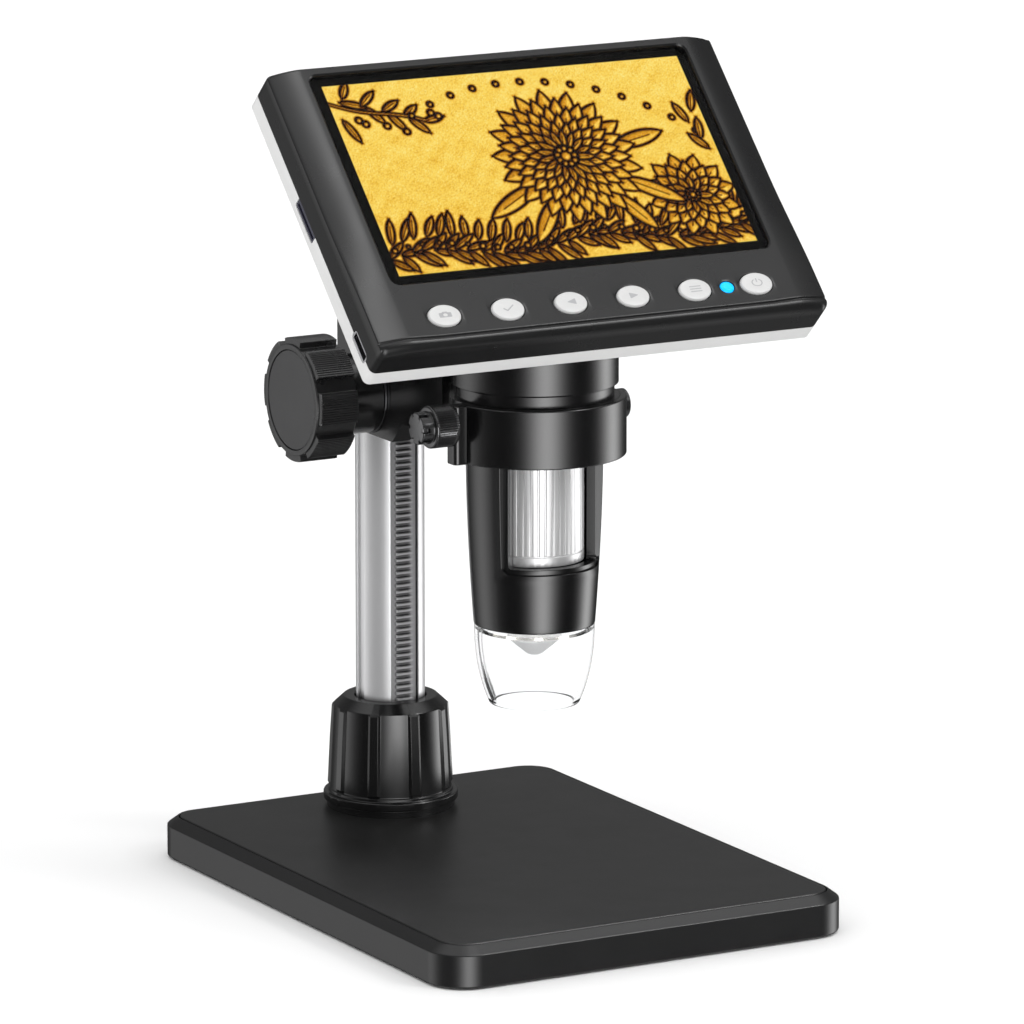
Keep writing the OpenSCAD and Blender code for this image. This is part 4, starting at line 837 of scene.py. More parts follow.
# %% [markdown]
# The lines of the grid are not evenly spaced. They run exactly along the squares that are cut out for
# the window, the keys and the lamp, and they crowd together where the surface bends.

# %% Grid of the front shell
KEY_HOLE, LAMP_HOLE, WINDOW_U, WINDOW_V = 5.1, 2.6, 51.4, 30.6  # half sizes of the squares left out
OPENING_U, OPENING_V = 50.15, 29.5  # half size of the window itself
KEY_ROWS, LAMP_ROWS = (-44.0, -34.5), (-42.2, -37.0)
edges = sorted([k + s * KEY_HOLE for k in KEY_US for s in (-1, 1)] + [LAMP_U - LAMP_HOLE, LAMP_U + LAMP_HOLE])
u_stops = [-HALF_U, -WINDOW_U] + edges + [WINDOW_U, HALF_U]
between = [max(2, round((b - a) / 0.75)) for a, b in zip(u_stops[1:-2], u_stops[2:-1])]
u_line = lines(u_stops, [18] + between + [18])
ROLL_LINES_R = 1.85  # the roll that the lines are laid out for; they are stretched to roll_radius below
roll_v = LOW + ROLL_LINES_R * (1 - np.cos(np.radians([0, 12, 24, 36, 48, 58, 68, 79])))
v_stops = [-45.15, -44.7, KEY_ROWS[0], *LAMP_ROWS, KEY_ROWS[1], -WINDOW_V, WINDOW_V, BEVEL_V, HIGH]
v_line = np.concatenate((roll_v, lines(v_stops, [6, 6, 3, 7, 4, 6, 60, 2, 4])))
U, V = np.meshgrid(u_line, v_line)
V = V + (roll_radius(U) / ROLL_LINES_R - 1) * (V - LOW) * (1 - smooth(V, -45, -41))
W = face_height(U, V)
print("front sheet:", len(v_line), "by", len(u_line), "lines")

# %% [markdown]
# The sheet's corners are rounded next, and every hole is a chain of loops: a fine bevel, the wall and
# the floor. The rim goes the same way, over a bevel and down the side walls to the seam.

# %% Corners, holes and rim of the front shell
def round_corners(u, v):
    """Moves points near the outline's corners onto its arc."""
    middle = (LOW + HIGH) / 2
    half = np.array([HALF_U, (HIGH - LOW) / 2])
    p = np.stack((u, v - middle), -1)
    over = np.maximum(np.abs(p) - (half - FACE_CORNER), 0)
    size, reach = np.hypot(over[..., 0], over[..., 1]), over.max(-1)
    scale = np.where((over > 0).all(-1), reach / np.where(size > 0, size, 1), 1)[..., None]
    p = np.where(over > 0, np.sign(p) * (half - FACE_CORNER + over * scale), p)
    return p[..., 0], p[..., 1] + middle


def sheet_with_holes(u_line, v_line, U, V, W, holes, rim_loops):
    """Closed shape: the sheet (U, V, W), minus holes, with its rim joined to rim_loops and closed.
    holes: (columns, rows, loops(square)), where loops gives arrays of (u, v, w) and the last is filled."""
    rows, columns = U.shape
    keep = np.ones((rows - 1, columns - 1), bool)
    points = [np.stack((U, V, W), -1).reshape(-1, 3)]
    faces, caps = [], []

    def hang(loop, rings):
        """Joins the first ring to a loop of the grid, each ring to the next, and fills the last one."""
        last = loop[:, 0] * columns + loop[:, 1]
        for ring in rings:
            here = np.arange(len(ring)) + sum(len(p) for p in points)
            points.append(ring)
            faces.append(join_loops(last, here))
            last = here
        caps.append(list(last))

    for (c, d), (a, b), loops in holes:
        keep[a:b, c:d] = False
        loop = np.array(rim((a, b), (c, d)))
        square = np.column_stack((2 * (u_line[loop[:, 1]] - u_line[c]) / (u_line[d] - u_line[c]) - 1,
                                  2 * (v_line[loop[:, 0]] - v_line[a]) / (v_line[b] - v_line[a]) - 1))
        hang(loop, loops(square))
    loop = np.array(rim((0, rows - 1), (0, columns - 1)))
    hang(loop, rim_loops(*(grid[tuple(loop.T)] for grid in (U, V, W))))
    sheet = grid_faces(rows, columns, wrap=False)[keep.ravel()]
    return np.concatenate(points), sheet.tolist() + np.vstack(faces).tolist() + caps


def window_loops(square):
    """Rounded window with a small bevel, a wall down to the picture and a floor."""
    rings = []
    for grow, corner, w in ((0.45, 2.6, None), (0.1, 2.3, -0.32), (0, 2.2, -0.5), (0, 2.2, -5.1)):
        flat = to_rounded(square, (OPENING_U + grow, OPENING_V + grow), corner)
        depth = face_height(*flat.T) if w is None else np.full(len(flat), w)
        rings.append(np.column_stack((flat, depth)))
    return rings


def oval_hole(u, v, a, b, floor):
    """Loops of an oval hole of half width a and half height b, with a broken edge and a floor."""
    def loops(square):
        """Bevel ring, upper edge and floor of the hole."""
        return [np.column_stack((to_circle(square, 1) * [a + g, b + g] + [u, v], np.full(len(square), w)))
                for g, w in ((0.26, 0), (0.08, -0.1), (0, -0.3), (0, floor))]
    return loops


def face_rim(u, v, w):
    """From the sheet's rim over a fine bevel down the side walls to the seam, along the full outline."""
    loop = tuple(np.array(rim((0, len(v_line) - 1), (0, len(u_line) - 1))).T)
    cu, cv = OUT_U[loop], OUT_V[loop]
    low = v < LOW + 0.01
    below = np.where(low, 0.05, 0.18)
    middle = (LOW + HIGH) / 2
    return [np.column_stack((cu, cv, w - below)), np.column_stack((cu, cv, np.full(len(w), SEAM + 0.12))),
            np.column_stack((cu * 0.998, middle + (cv - middle) * 0.997, np.full(len(w), SEAM + 0.01)))]


def column_range(line, low, high):
    """Indices of two stops on a grid line."""
    return int(np.argmin(np.abs(line - low))), int(np.argmin(np.abs(line - high)))


print("the window's cell rows are", column_range(v_line, -WINDOW_V, WINDOW_V))

# %% [markdown]
# Everything is ready for the shell itself: one window, one lamp hole and six key holes. The outermost
# points are drawn in by 0.15 mm, so that a fine bevel leads from the face to the walls.

# %% Front shell
holes = [(column_range(u_line, -WINDOW_U, WINDOW_U), column_range(v_line, -WINDOW_V, WINDOW_V), window_loops),
         (column_range(u_line, LAMP_U - LAMP_HOLE, LAMP_U + LAMP_HOLE), column_range(v_line, *LAMP_ROWS),
          oval_hole(LAMP_U, KEY_V, 1.85, 1.6, -3.0))]
holes += [(column_range(u_line, u - KEY_HOLE, u + KEY_HOLE), column_range(v_line, *KEY_ROWS),
           oval_hole(u, KEY_V, KEY_A + 0.15, KEY_B + 0.15, -3.8)) for u in KEY_US]
inside = np.zeros_like(U, bool)
inside[1:-1, 1:-1] = True
OUT_U, OUT_V = round_corners(U, V)
edge_in = np.where(inside | (V < LOW + 0.01), 0, 0.15)
CU = np.where(inside, OUT_U, OUT_U * (1 - edge_in / HALF_U))
CV = np.where(inside, OUT_V, OUT_V - edge_in * (OUT_V > 0) * (OUT_V > HIGH - FACE_CORNER))
points, faces = sheet_with_holes(u_line, v_line, CU, CV, W, holes, face_rim)
front = piece("front_shell", (screen(*points.T), faces), "microscope", "bezel_grey", ["front_bezel"],
              sharp=28)

# %% [markdown]
# ## The white back
# The back is a shallow white tray with a raised field for the battery. It is a stack again: the outline
# of the housing, then the outline of the raised field, then the same a little smaller.

# %% White back
middle_v = (LOW + HIGH) / 2
HUMP_W, HUMP_D, HUMP_CORNER, HUMP_V = 112.4, 33.5, 6, -13.75
tray = fillet([(0.12, SEAM - 0.01, 0), (0, SEAM - 0.15, 0), (0, RIM_BACK, 0.5), (1.8, RIM_BACK, 0)], 5, False)
hump = fillet([(-0.5, RIM_BACK, 0), (0, RIM_BACK, 0.3), (2, HUMP_BACK, 0.9), (8, HUMP_BACK, 0)], 6, False)
rows = []
for path, width, depth, corner, least, v in ((tray, 2 * HALF_U, HIGH - LOW, FACE_CORNER, 0.3, middle_v),
                                             (hump, HUMP_W, HUMP_D, HUMP_CORNER, 0.4, HUMP_V)):
    for inset, w in path:
        row = rounded_rectangle(width - 2 * inset, depth - 2 * inset, max(corner - inset, least), w)
        rows.append(row + [0, v, 0])
points, faces = capped(rows)
cover = piece("white_back", (screen(*points.T), faces), "microscope", "cover_white", ["rear_cover"])

# %% [markdown]
# The screw wells and the two sockets on the left side are cut with a Boolean, because they break through
# flat walls and need no special shading. The cut is applied at once, so only a plain mesh is left.

# %% Screw wells and sockets
def cut(obj, shape):
    """Cuts a closed shape, in millimetres, out of a piece with an exact Boolean."""
    tool = bpy.data.objects.new("cutter", bpy.data.meshes.new("cutter"))
    tool.data.from_pydata((np.asarray(shape[0]) * MM).tolist(), [], [list(f) for f in shape[1]])
    bm = bmesh.new()
    bm.from_mesh(tool.data)
    bmesh.ops.remove_doubles(bm, verts=bm.verts, dist=1e-6)
    bmesh.ops.recalc_face_normals(bm, faces=bm.faces)
    bm.to_mesh(tool.data)
    bm.free()
    bpy.context.scene.collection.objects.link(tool)
    modifier = obj.modifiers.new("cut", "BOOLEAN")
    modifier.operation, modifier.solver, modifier.object = "DIFFERENCE", "EXACT", tool
    while obj.modifiers[0] != modifier:
        bpy.context.view_layer.objects.active = obj
        obj.modifiers.move(obj.modifiers.find("cut"), 0)
    others = [m for m in obj.modifiers if m != modifier]
    for m in others:
        m.show_viewport = False
    bpy.context.view_layer.update()
    mesh = bpy.data.meshes.new_from_object(obj.evaluated_get(bpy.context.evaluated_depsgraph_get()))
    obj.modifiers.remove(modifier)
    for m in others:
        m.show_viewport = True
    old, name = obj.data, obj.data.name
    obj.data = mesh
    bpy.data.meshes.remove(old)
    mesh.name = name
    bpy.data.objects.remove(tool)
    mesh.shade_smooth()
    mesh.set_sharp_from_angle(angle=radians(30))


def on_side(width, depth, radius, u0, u1, v, w):
    """Closed block on the left side wall: width along v, depth along w, from u0 to u1."""
    points, faces = capped([rounded_rectangle(width, depth, radius, u) for u in (u0, u1)])
    return screen(points[:, 2], points[:, 0] + v, points[:, 1] + w), faces


wells = [(x * 55.4, y) for x in (-1, 1) for y in (-32.5, 28.7)]
well = fillet([(0, -14.5, 0), (2.1, -14.5, 0), (1.9, -13.6, 0), (1.9, -12.35, 0), (0, -12.35, 0)],
              1, closed=False)
screw_wells = []
for u, v in wells:
    points, faces = lathe(well, (u, v, 0), segments=40)
    screw_wells.append((screen(*points.T), faces))
OUTSIDE_U, USB_V, CARD_V = -60.5, -39.4, -3.3
usb_hole = on_side(8.1, 3.1, 1.3, OUTSIDE_U, -53.4, USB_V, SEAM)
card_hole = on_side(11.3, 4.8, 0.8, OUTSIDE_U, -43.8, CARD_V, SEAM - 0.2)
cut(cover, together(*screw_wells, card_hole, usb_hole))
cut(front, usb_hole)
print("white back after cutting:", len(cover.data.polygons), "faces")

# %% [markdown]
# ## Keys and lamp
# The six keys are white ovals with a slightly domed top, each free to move 0.5 mm. Their grey signs are
# thin inlays, built from polygons: strokes, arcs and a little camera.

# %% Signs of the keys
SIGN_LOW, SIGN_HIGH = 0.35, 0.615  # the inlays' lower and upper face
ARC_POINTS = 40


def on_display(shape, squeeze, u, v):
    """A shape drawn about its middle, squeezed along v and placed on the display at (u, v)."""
    return screen(*(shape[0] * [1, squeeze, 1] + [u, v, 0]).T), shape[1]


def prism(outline):
    """Closed prism over a 2-D outline, from SIGN_LOW to SIGN_HIGH."""
    outline = np.asarray(outline, float)
    return capped([np.column_stack((outline, np.full(len(outline), h))) for h in (SIGN_LOW, SIGN_HIGH)])


def stroke(start, end, width):
    """Outline of a straight stroke."""
    start, end = np.array(start, float), np.array(end, float)
    side = np.array([start[1] - end[1], end[0] - start[0]])
    side *= width / 2 / np.hypot(*side)
    return [start + side, end + side, end - side, start - side]


def arc_stroke(radius, width, start, end):
    """Outline of an arc between two angles in degrees."""
    a = np.radians(np.linspace(start, end, ARC_POINTS))
    circle = np.column_stack((np.cos(a), np.sin(a)))
    return np.vstack((circle * (radius + width / 2), circle[::-1] * (radius - width / 2)))


triangle = fillet([(-1.1, -1.15, 0.15), (1.25, 0, 0.15), (-1.1, 1.15, 0.15)], 3)
body_edge = fillet([(0, -1.0, 0), (1.6, -1.0, 0.25), (1.6, 0.75, 0.25), (0.75, 0.75, 0), (0.55, 1.1, 0.1),
                    (0, 1.1, 0)], 3, False)
half_turn = np.linspace(0, pi, 13)
lens_edge = 0.58 * np.column_stack((np.sin(half_turn), np.cos(half_turn))) + [0, -0.12]
half_camera = np.vstack((body_edge, lens_edge))
SIGNS = {
    "camera": [half_camera, half_camera * [-1, 1]],
    "confirm": [stroke((-1.35, 0.05), (-0.4, -0.95), 0.36), stroke((-0.52, -0.95), (1.4, 1.05), 0.36)],
    "left": [triangle * [-1, 1]],
    "right": [triangle],
    "menu": [stroke((-1.5, y), (1.5, y), 0.34) for y in (-0.95, 0, 0.95)],
    "power": [arc_stroke(1.3, 0.28, 118, 422), stroke((0, 0.2), (0, 1.6), 0.28)],
}
print("signs for", ", ".join(SIGNS))

# %% [markdown]
# A key is turned like a button and then squeezed along v, which makes the circle an oval. The blue lamp
# is made the same way, as a dome that glows.

# %% Keys and lamp
key_path = fillet([(0, 0.6, 0), (2.6, 0.585, 0.5), (3.95, 0.46, 0.3), (KEY_A, 0.0, 0.1), (KEY_A, -2.9, 0),
                   (0, -2.9, 0)], 4, closed=False)
for name, u in zip(KEY_NAMES, KEY_US):
    key = on_display(lathe(key_path, segments=96), KEY_B / KEY_A, u, KEY_V)
    piece(name + "_key", key, "key_" + name, "key_white", ["key_" + name])
    sign = on_display(together(*(prism(outline) for outline in SIGNS[name])), 0.72, u, KEY_V)
    piece(name + "_sign", sign, "key_" + name, "key_grey", weighted=False)
lamp = fillet([(0, 0.28, 0), (1.1, 0.22, 0.5), (1.75, -0.1, 0.3), (1.75, -2.8, 0), (0, -2.8, 0)],
              4, closed=False)
dome = on_display(lathe(lamp, segments=64), 0.86, LAMP_U, KEY_V)
piece("lamp_dome", dome, "microscope", "blue_light", ["status_light"])

# %% [markdown]
# ## The picture on the display
# A microscope of this kind is shown at work, with something small filling its display. Here it is a
# struck gold relief, invented for this model: two flowers, a garland of leaves along the bottom, a
# sprig with berries and a row of beads. Every motif is a signed distance, positive inside. Painting from
# back to front gives a height map, its slope gives the light, and the edges are inked dark.

# %% Motifs of the relief
ACTIVE_W, ACTIVE_H = 95.04, 53.86
columns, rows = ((380, 214))
px = (np.arange(columns) + 0.5) / columns * ACTIVE_W
py = (np.arange(rows) + 0.5) / rows * ACTIVE_H
X, Y = np.meshgrid(px, py)
height, ink = np.zeros_like(X), np.zeros_like(X)
rng = np.random.default_rng(7)
print("canvas of the relief:", columns, "by", rows, "points")


def stamp(d, lift, dome, line=0.39):
    """Lays a motif with signed distance d over the relief: it hides what is below it, rises by lift and
    dome * sqrt(d), and gets a dark line along its edge."""
    global height, ink
    body = d > 0
    height = np.where(body, lift + dome * np.sqrt(np.maximum(d, 0)), height)
    ink = np.where(body, 0, ink)
    ink = np.maximum(ink, np.exp(-(d / line) ** 2))


def local(x, y, angle):
    """Coordinates along and across a direction in degrees, from a point."""
    c, s = cos(radians(angle)), sin(radians(angle))
    return (X - x) * c + (Y - y) * s, (Y - y) * c - (X - x) * s


def leaf(x, y, angle, length, width, lift=0.6):
    """Pointed leaf with a vein: half width = 1.6 width sqrt(t) (1 - t^2)^0.8 at the fraction t of its
    length from the root."""
    global ink
    a, b = local(x, y, angle)
    t = np.clip(a / length, 0, 1)
    half = width * 1.6 * np.sqrt(t) * (1 - t ** 2) ** 0.8
    d = np.minimum(half - np.abs(b), np.minimum(a, length - a) * 0.8)
    stamp(d, lift, 0.5)
    vein = np.exp(-(b / 0.16) ** 2) * ((a > 0.1 * length) & (a < 0.75 * length))
    ink = np.maximum(ink, 0.75 * vein)


def bead(x, y, radius, lift=0.7):
    """Round bead."""
    stamp(radius - np.hypot(X - x, Y - y), lift, 0.7)


def flower(x, y, radius, petals, rings, turn=0.0):
    """Rings of petals, painted from the outside in, with a beaded heart."""
    for k in range(rings):
        size = radius * (1 - 0.72 * k / rings)
        for i in range(petals):
            angle = turn + 360 * (i + 0.5 * (k % 2)) / petals
            inner = size * 0.18
            leaf(x + inner * cos(radians(angle)), y + inner * sin(radians(angle)), angle, size * 0.84,
                 size * 2.5 / petals, 0.8 + 0.5 * k)
    bead(x, y, radius * 0.17, 2.6)
    for i in range(9):
        a = radians(40 * i + turn)
        bead(x + radius * 0.12 * cos(a), y + radius * 0.12 * sin(a), radius * 0.045, 3.2)


# %% Compose the relief
for i in range(30):
    x = 1.5 + i * 3.2 + rng.uniform(-0.4, 0.4)
    leaf(x, 8.4 + 1.8 * sin(x / 7), rng.uniform(48, 80), rng.uniform(5.5, 7.5), 1.05, 0.5)
for i in range(34):
    x = i * 2.9 + rng.uniform(-0.4, 0.4)
    leaf(x, 5.2 + 1.5 * sin(x / 7), rng.uniform(5, 45), rng.uniform(5.5, 7), 1.0, 0.7)
    leaf(x, 4.6 + 1.5 * sin(x / 7), rng.uniform(-60, -15), rng.uniform(5, 7), 1.0, 0.8)
for i in range(26):
    x = 2 + i * 3.7
    bead(x + rng.uniform(-0.5, 0.5), 6.6 + 1.6 * sin(x / 7), rng.uniform(0.5, 0.85), 1.2)
SPRIG = ((3, 49, -18, 7), (8, 47.5, 40, 6), (9, 47, -55, 6), (13, 45.6, 28, 5.5), (14, 45, -60, 6.5),
         (18, 43.6, 35, 5), (19, 43, -50, 6), (22.5, 41.8, 10, 5.5), (4, 50, 60, 5), (2, 44, -70, 7))
for x, y, angle, length in SPRIG:
    leaf(x, y, angle, length, 1.05)
stem = 48.8 - 0.31 * X - 0.6 * np.sin(X / 4)
stamp(np.where(X < 23, 0.42 - np.abs(Y - stem), -1), 0.9, 0.4, 0.3)
for x, y in ((6, 43.6), (7.4, 42.4), (12.6, 41.4), (17, 39.4), (25, 44), (26.6, 42.9)):
    bead(x, y, 0.85)
for i in range(13):
    a = radians(118 - 6.2 * i)
    bead(48 + 60 * cos(a), -8 + 58.5 * sin(a), 0.75, 0.5)
flower(83.5, 14.5, 11.5, 12, 4, 8)
for angle, length in ((208, 17), (232, 15), (330, 16), (305, 13), (12, 14)):
    leaf(56 + 13 * cos(radians(angle)), 27.5 + 13 * sin(radians(angle)), angle, length, 2.3, 0.7)
flower(55, 28.5, 18.5, 17, 6, 5)
for x, y, angle in ((92, 30, 80), (93, 27, 130), (90.5, 35, 110), (92.5, 38, 70)):
    leaf(x, y, angle, 6, 1.1)

print("relief rises to", round(float(height.max()), 1), "mm on the canvas")

# %% [markdown]
# The height map is lit from the upper left: light is a mix of its two slopes. Its tone is then read as a
# colour between brown, gold and pale yellow.

# %% Light and colour of the relief
WAVES = 9
waves = zip(rng.uniform(-1.2, 1.2, WAVES), rng.uniform(-1.2, 1.2, WAVES), rng.uniform(0, 6, WAVES))
spots = sum(np.sin(X * across + Y * up + start) for across, up, start in waves) / WAVES
fine = rng.normal(0, 1, X.shape)
step = ACTIVE_W / columns
slope_y, slope_x = np.gradient(height, step)
light = np.clip(0.30 * (slope_y - 0.8 * slope_x), -0.6, 0.42)
relief = height > 0
# The ground has a tone of 0.82. Motifs are darker, two noises mottle it, and it falls off downwards.
tone = 0.82 - 0.12 * relief + 0.07 * spots + 0.05 * fine + light - 0.05 * (1 - Y / ACTIVE_H)
tone = np.clip(tone, 0.03, 1) * (1 - 0.99 * np.clip(1.25 * ink, 0, 1))
# Each stop is a tone and its red, green and blue as seen on a display; the power makes them linear.
stops = np.array([(0, 0.06, 0.02, 0.0), (0.3, 0.40, 0.20, 0.02), (0.6, 0.84, 0.58, 0.12),
                  (0.8, 0.98, 0.82, 0.34), (1, 1.0, 0.94, 0.60)])
colour = np.stack([np.interp(tone, stops[:, 0], stops[:, c]) for c in (1, 2, 3)], -1) ** 2.2
print("mean colour of the relief", colour.mean((0, 1)).round(3))

# %% [markdown]
# The panel is one grid: the picture's points, a hair's breadth of black round them, and the black frame
# out to the panel's edge. The colours are a colour attribute, and the material sends them out as light.

# %% The panel
PANEL_W, PANEL_DEPTH, PANEL_U, PANEL_V, MARGIN = -2.03, 2.9, 50.05, 29.4, 0.02
U0, V0 = 0.8 - ACTIVE_W / 2, 0.6 - ACTIVE_H / 2
u_line = np.concatenate(([-PANEL_U], [U0 - MARGIN], U0 + px, [U0 + ACTIVE_W + MARGIN], [PANEL_U]))
v_line = np.concatenate(([-PANEL_V], [V0 - MARGIN], V0 + py, [V0 + ACTIVE_H + MARGIN], [PANEL_V]))
U, V = np.meshgrid(u_line, v_line)
points, faces = sheet_with_holes(u_line, v_line, U, V, np.full_like(U, PANEL_W), [],
                                 lambda u, v, w: [np.column_stack((u, v, w - PANEL_DEPTH))])
material = bpy.data.materials.new("picture")
FINISHES["picture"] = material
material.use_nodes = True
shader = material.node_tree.nodes["Principled BSDF"]
shader.inputs["Base Color"].default_value = (0.004, 0.004, 0.004, 1)
shader.inputs["Roughness"].default_value = 0.35
shader.inputs["Emission Strength"].default_value = 1.0
shader.inputs["Specular IOR Level"].default_value = 0.0
attribute = material.node_tree.nodes.new("ShaderNodeAttribute")
attribute.attribute_name = "relief"
material.node_tree.links.new(attribute.outputs["Color"], shader.inputs["Emission Color"])
panel = piece("picture_panel", (screen(*points.T), faces), "microscope", "picture", ["lcd_panel"],
              weighted=False)
values = np.zeros((len(v_line), len(u_line), 4))
values[..., 3] = 1
values[2:-2, 2:-2, :3] = colour
flat = np.zeros((len(panel.data.vertices), 4))
flat[:, 3] = 1
flat[:values.shape[0] * values.shape[1]] = values.reshape(-1, 4)
layer = panel.data.color_attributes.new("relief", "FLOAT_COLOR", "POINT")
layer.data.foreach_set("color", flat.ravel())
print("panel has", len(panel.data.vertices), "points, of which", values[..., 0].size, "carry colours")

# %% [markdown]
# ## What the mechanical model still shows
# Inner parts such as boards, liner, lens and screws keep their shape from the mechanical model. They only
# need their finish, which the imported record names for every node.

# %% Finishes for the remaining nodes
for part in frame["record"]["subparts"]:
    node = NODES[part["node"]]
    node.data.materials.clear()
    node.data.materials.append(FINISHES[part["material_slot"]])

# %% [markdown]
# ## Floor and studio
# The instrument stands on a plain pale floor. Polished black plastic shows its surroundings and hardly
# anything else, so the studio matters most: a dim room, a bright ceiling and three upright light panels,
# which draw the long streaks on barrel, ring and neck. The panels are part of the world's shader, as
# bumps over the azimuth: exp(k (cos(a - a0) - 1)). Four soft spots are the same bump about a direction.
# They put a sheen on the display's rolled edge and left slope, on the base's bevel and on the stage. Only
# mirrored rays see panels and spots.

# %% World
PANELS = ((256, 17, 3.9), (138, 11, 0.95), (354, 21, 3.0))  # azimuth in degrees, narrowness, power
SPOTS = ((309, 39, 120, 14.0), (60.8, 12, 12, 0.06), (4.5, 61, 70, 0.7),
         (298, 69, 90, 5.5))  # azimuth and rise in degrees, narrowness, power
BEHIND = 60.8  # azimuth of the room's far side, which clear plastic shows at its brightest


def studio():
    """World shader: even white for camera and diffuse rays, a room with light panels for mirrored rays."""
    world = bpy.data.worlds.new("studio")
    bpy.context.scene.world = world
    world.use_nodes = True
    tree = world.node_tree
    nodes, links = tree.nodes, tree.links
    background = nodes["Background"]
    background.inputs["Color"].default_value = (1, 1, 1, 1)

    def math(operation, a, b=None, clamp=False):
        """Math node; a and b are sockets or numbers."""
        node = nodes.new("ShaderNodeMath")
        node.operation, node.use_clamp = operation, clamp
        for k, value in enumerate((a, b)):
            if isinstance(value, (int, float)):
                node.inputs[k].default_value = value
            elif value is not None:
                links.new(value, node.inputs[k])
        return node.outputs[0]

    def ramp(value, low, high, out_low, out_high):
        """Smooth step from out_low to out_high as value goes from low to high."""
        node = nodes.new("ShaderNodeMapRange")
        node.interpolation_type = "SMOOTHSTEP"
        links.new(value, node.inputs["Value"])
        for key, number in zip(("From Min", "From Max", "To Min", "To Max"), (low, high, out_low, out_high)):
            node.inputs[key].default_value = number
        return node.outputs["Result"]

    def around(centre):
        """Cosine of the angle between the azimuth and a centre in degrees."""
        return math("COSINE", math("SUBTRACT", azimuth, radians(centre)))

    def towards(centre, rise):
        """Cosine of the angle to a direction, given its azimuth and its rise in degrees."""
        a, e = radians(centre), radians(rise)
        flat = math("ADD", math("MULTIPLY", x, cos(a) * cos(e)), math("MULTIPLY", y, sin(a) * cos(e)))
        return math("ADD", flat, math("MULTIPLY", z, sin(e)))

    def glow(cosine, narrow, power):
        """Soft bump of light: power * exp(narrow * (cosine - 1))."""
        fall = math("MULTIPLY", math("SUBTRACT", cosine, 1.0), narrow)
        return math("MULTIPLY", math("EXPONENT", fall), power)

    def blend(factor, first, second):
        """First at factor 0, second at factor 1."""
        node = nodes.new("ShaderNodeMix")
        links.new(factor, node.inputs["Factor"])
        links.new(first, node.inputs["A"])
        if isinstance(second, float):
            node.inputs["B"].default_value = second
        else:
            links.new(second, node.inputs["B"])
        return node.outputs["Result"]

    where = nodes.new("ShaderNodeTexCoord")
    split = nodes.new("ShaderNodeSeparateXYZ")
    links.new(where.outputs["Generated"], split.inputs[0])
    x, y, z = split.outputs
    azimuth = math("ARCTAN2", y, x)
    # By the rise z of a ray: dim below the horizon, walls above it, a bright ceiling, and some light
    # from straight below. The panels end just above the horizon, because rays that upright walls
    # mirror go on downwards when the camera looks down.
    room = math("ADD", ramp(z, -0.1, 0.25, 0.04, 0.13), ramp(z, 0.6, 0.95, 0, 0.6))
    total = math("ADD", room, ramp(z, -0.9, -0.5, 0.33, 0))
    fade = math("MULTIPLY", ramp(z, -0.02, 0.16, 1, 0), ramp(z, -0.75, -0.4, 0, 1))
    for centre, narrow, power in PANELS:
        total = math("ADD", total, math("MULTIPLY", glow(around(centre), narrow, power), fade))
    for centre, rise, narrow, power in SPOTS:
        total = math("ADD", total, glow(towards(centre, rise), narrow, power))
    path = nodes.new("ShaderNodeLightPath")
    behind = ramp(around(BEHIND), 0.35, 0.9, 0.5, 1)
    total = blend(path.outputs["Is Transmission Ray"], total, behind)
    plain = math("ADD", path.outputs["Is Camera Ray"], path.outputs["Is Diffuse Ray"], clamp=True)
    links.new(blend(plain, total, 1.0), background.inputs["Strength"])


studio()
bpy.context.scene.view_settings.view_transform = "Standard"
print("studio with", len(PANELS), "panels and", len(SPOTS), "soft spots")

# %% [markdown]
# The floor is one pale sheet without gloss, and it is left out of reflections, because a wide white floor
# would grey every black wall. One large lamp from the left and above draws the soft shadow.

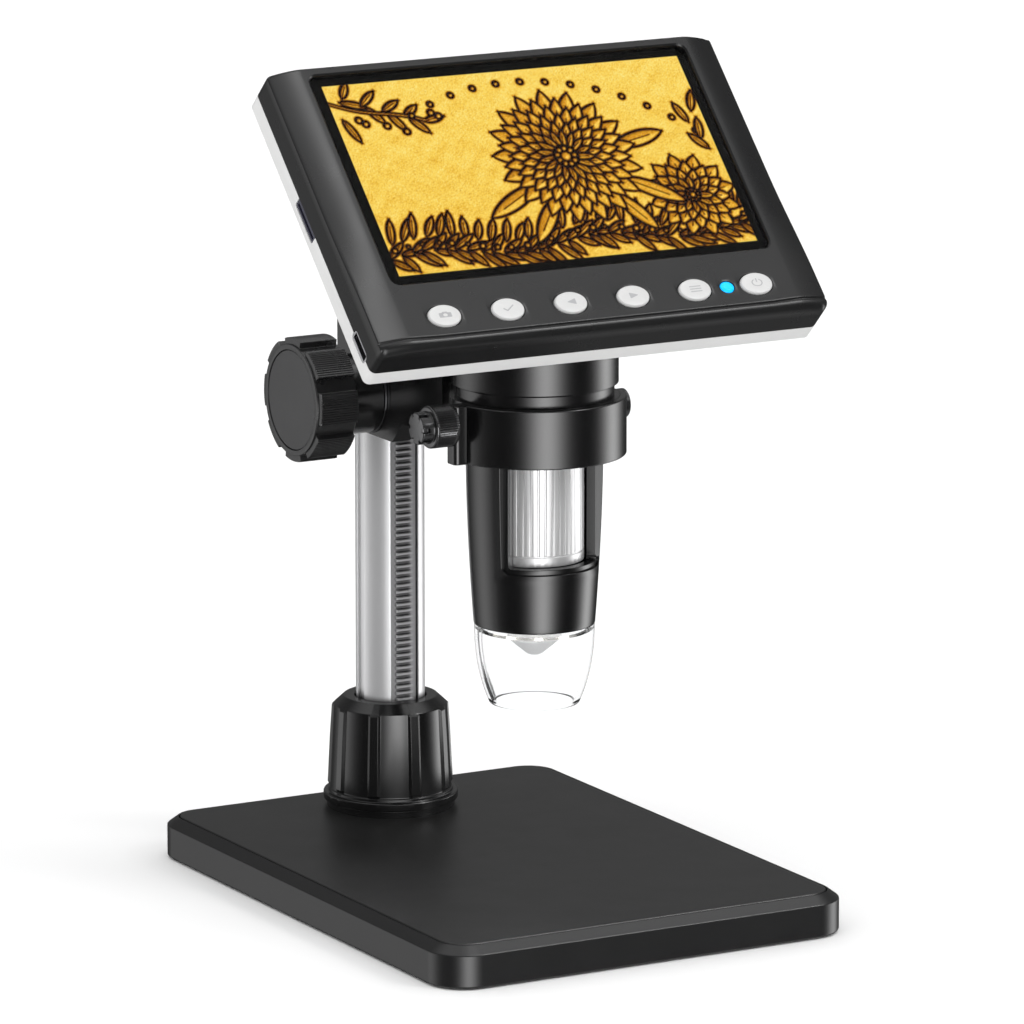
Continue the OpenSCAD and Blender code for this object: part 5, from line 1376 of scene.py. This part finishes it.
# %% Floor and lamp
floor_mesh = bpy.data.meshes.new("floor")
FLOOR_HALF = 6
floor_mesh.from_pydata([(x * FLOOR_HALF, y * FLOOR_HALF, 0) for x, y in ((-1, -1), (1, -1), (1, 1), (-1, 1))],
                       [], [(0, 1, 2, 3)])
floor = bpy.data.objects.new("floor", floor_mesh)
bpy.context.scene.collection.objects.link(floor)
floor_material = bpy.data.materials.new("floor")
floor_material.use_nodes = True
floor_shader = floor_material.node_tree.nodes["Principled BSDF"]
floor_shader.inputs["Base Color"].default_value = (0.93, 0.93, 0.93, 1)
floor_shader.inputs["Roughness"].default_value = 0.7
floor_shader.inputs["Specular IOR Level"].default_value = 0.0
floor_mesh.materials.append(floor_material)
floor.visible_glossy = False
lamp_data = bpy.data.lights.new("softbox", "AREA")
lamp_data.shape, lamp_data.size, lamp_data.size_y, lamp_data.energy = "RECTANGLE", 1.6, 1.2, 4
softbox = bpy.data.objects.new("softbox", lamp_data)
bpy.context.scene.collection.objects.link(softbox)
softbox.location = (-0.5, -0.4, 1.6)
softbox.rotation_euler = (Vector((0, 0, 0.1)) - softbox.location).to_track_quat("-Z", "Y").to_euler()
softbox.visible_glossy = False
print("softbox", round(softbox.location.length, 2), "m from the base")

# %% [markdown]
# ## Camera
# A long lens from the front left, a little above. The position is worked out from the two angles of
# view, the distance, and how far the point (0, 0, 100 mm) lies from the middle of the frame.

# %% Camera
AIM, AIM_RIGHT, AIM_UP, FOCAL = Vector((0, 0, 100)), 3.521, -6.9, 284.195
turn, rise, distance = radians(29.17), radians(12.127), 1909.55
forward = Vector((sin(turn) * cos(rise), cos(turn) * cos(rise), -sin(rise)))
right = Vector((cos(turn), -sin(turn), 0))
up = right.cross(forward)
eye = AIM - distance * forward + AIM_RIGHT * right + AIM_UP * up
lens = bpy.data.cameras.new("camera")
lens.sensor_width, lens.lens, lens.clip_end, lens.clip_start = 36, FOCAL, 10, 0.1
lens.dof.use_dof = False
camera = bpy.data.objects.new("camera", lens)
camera.matrix_world = Matrix.Translation(eye * MM) @ Matrix((right, up, -forward)).transposed().to_4x4()
bpy.context.scene.collection.objects.link(camera)
bpy.context.scene.camera = camera
print("camera at", [round(c) for c in eye], "mm")
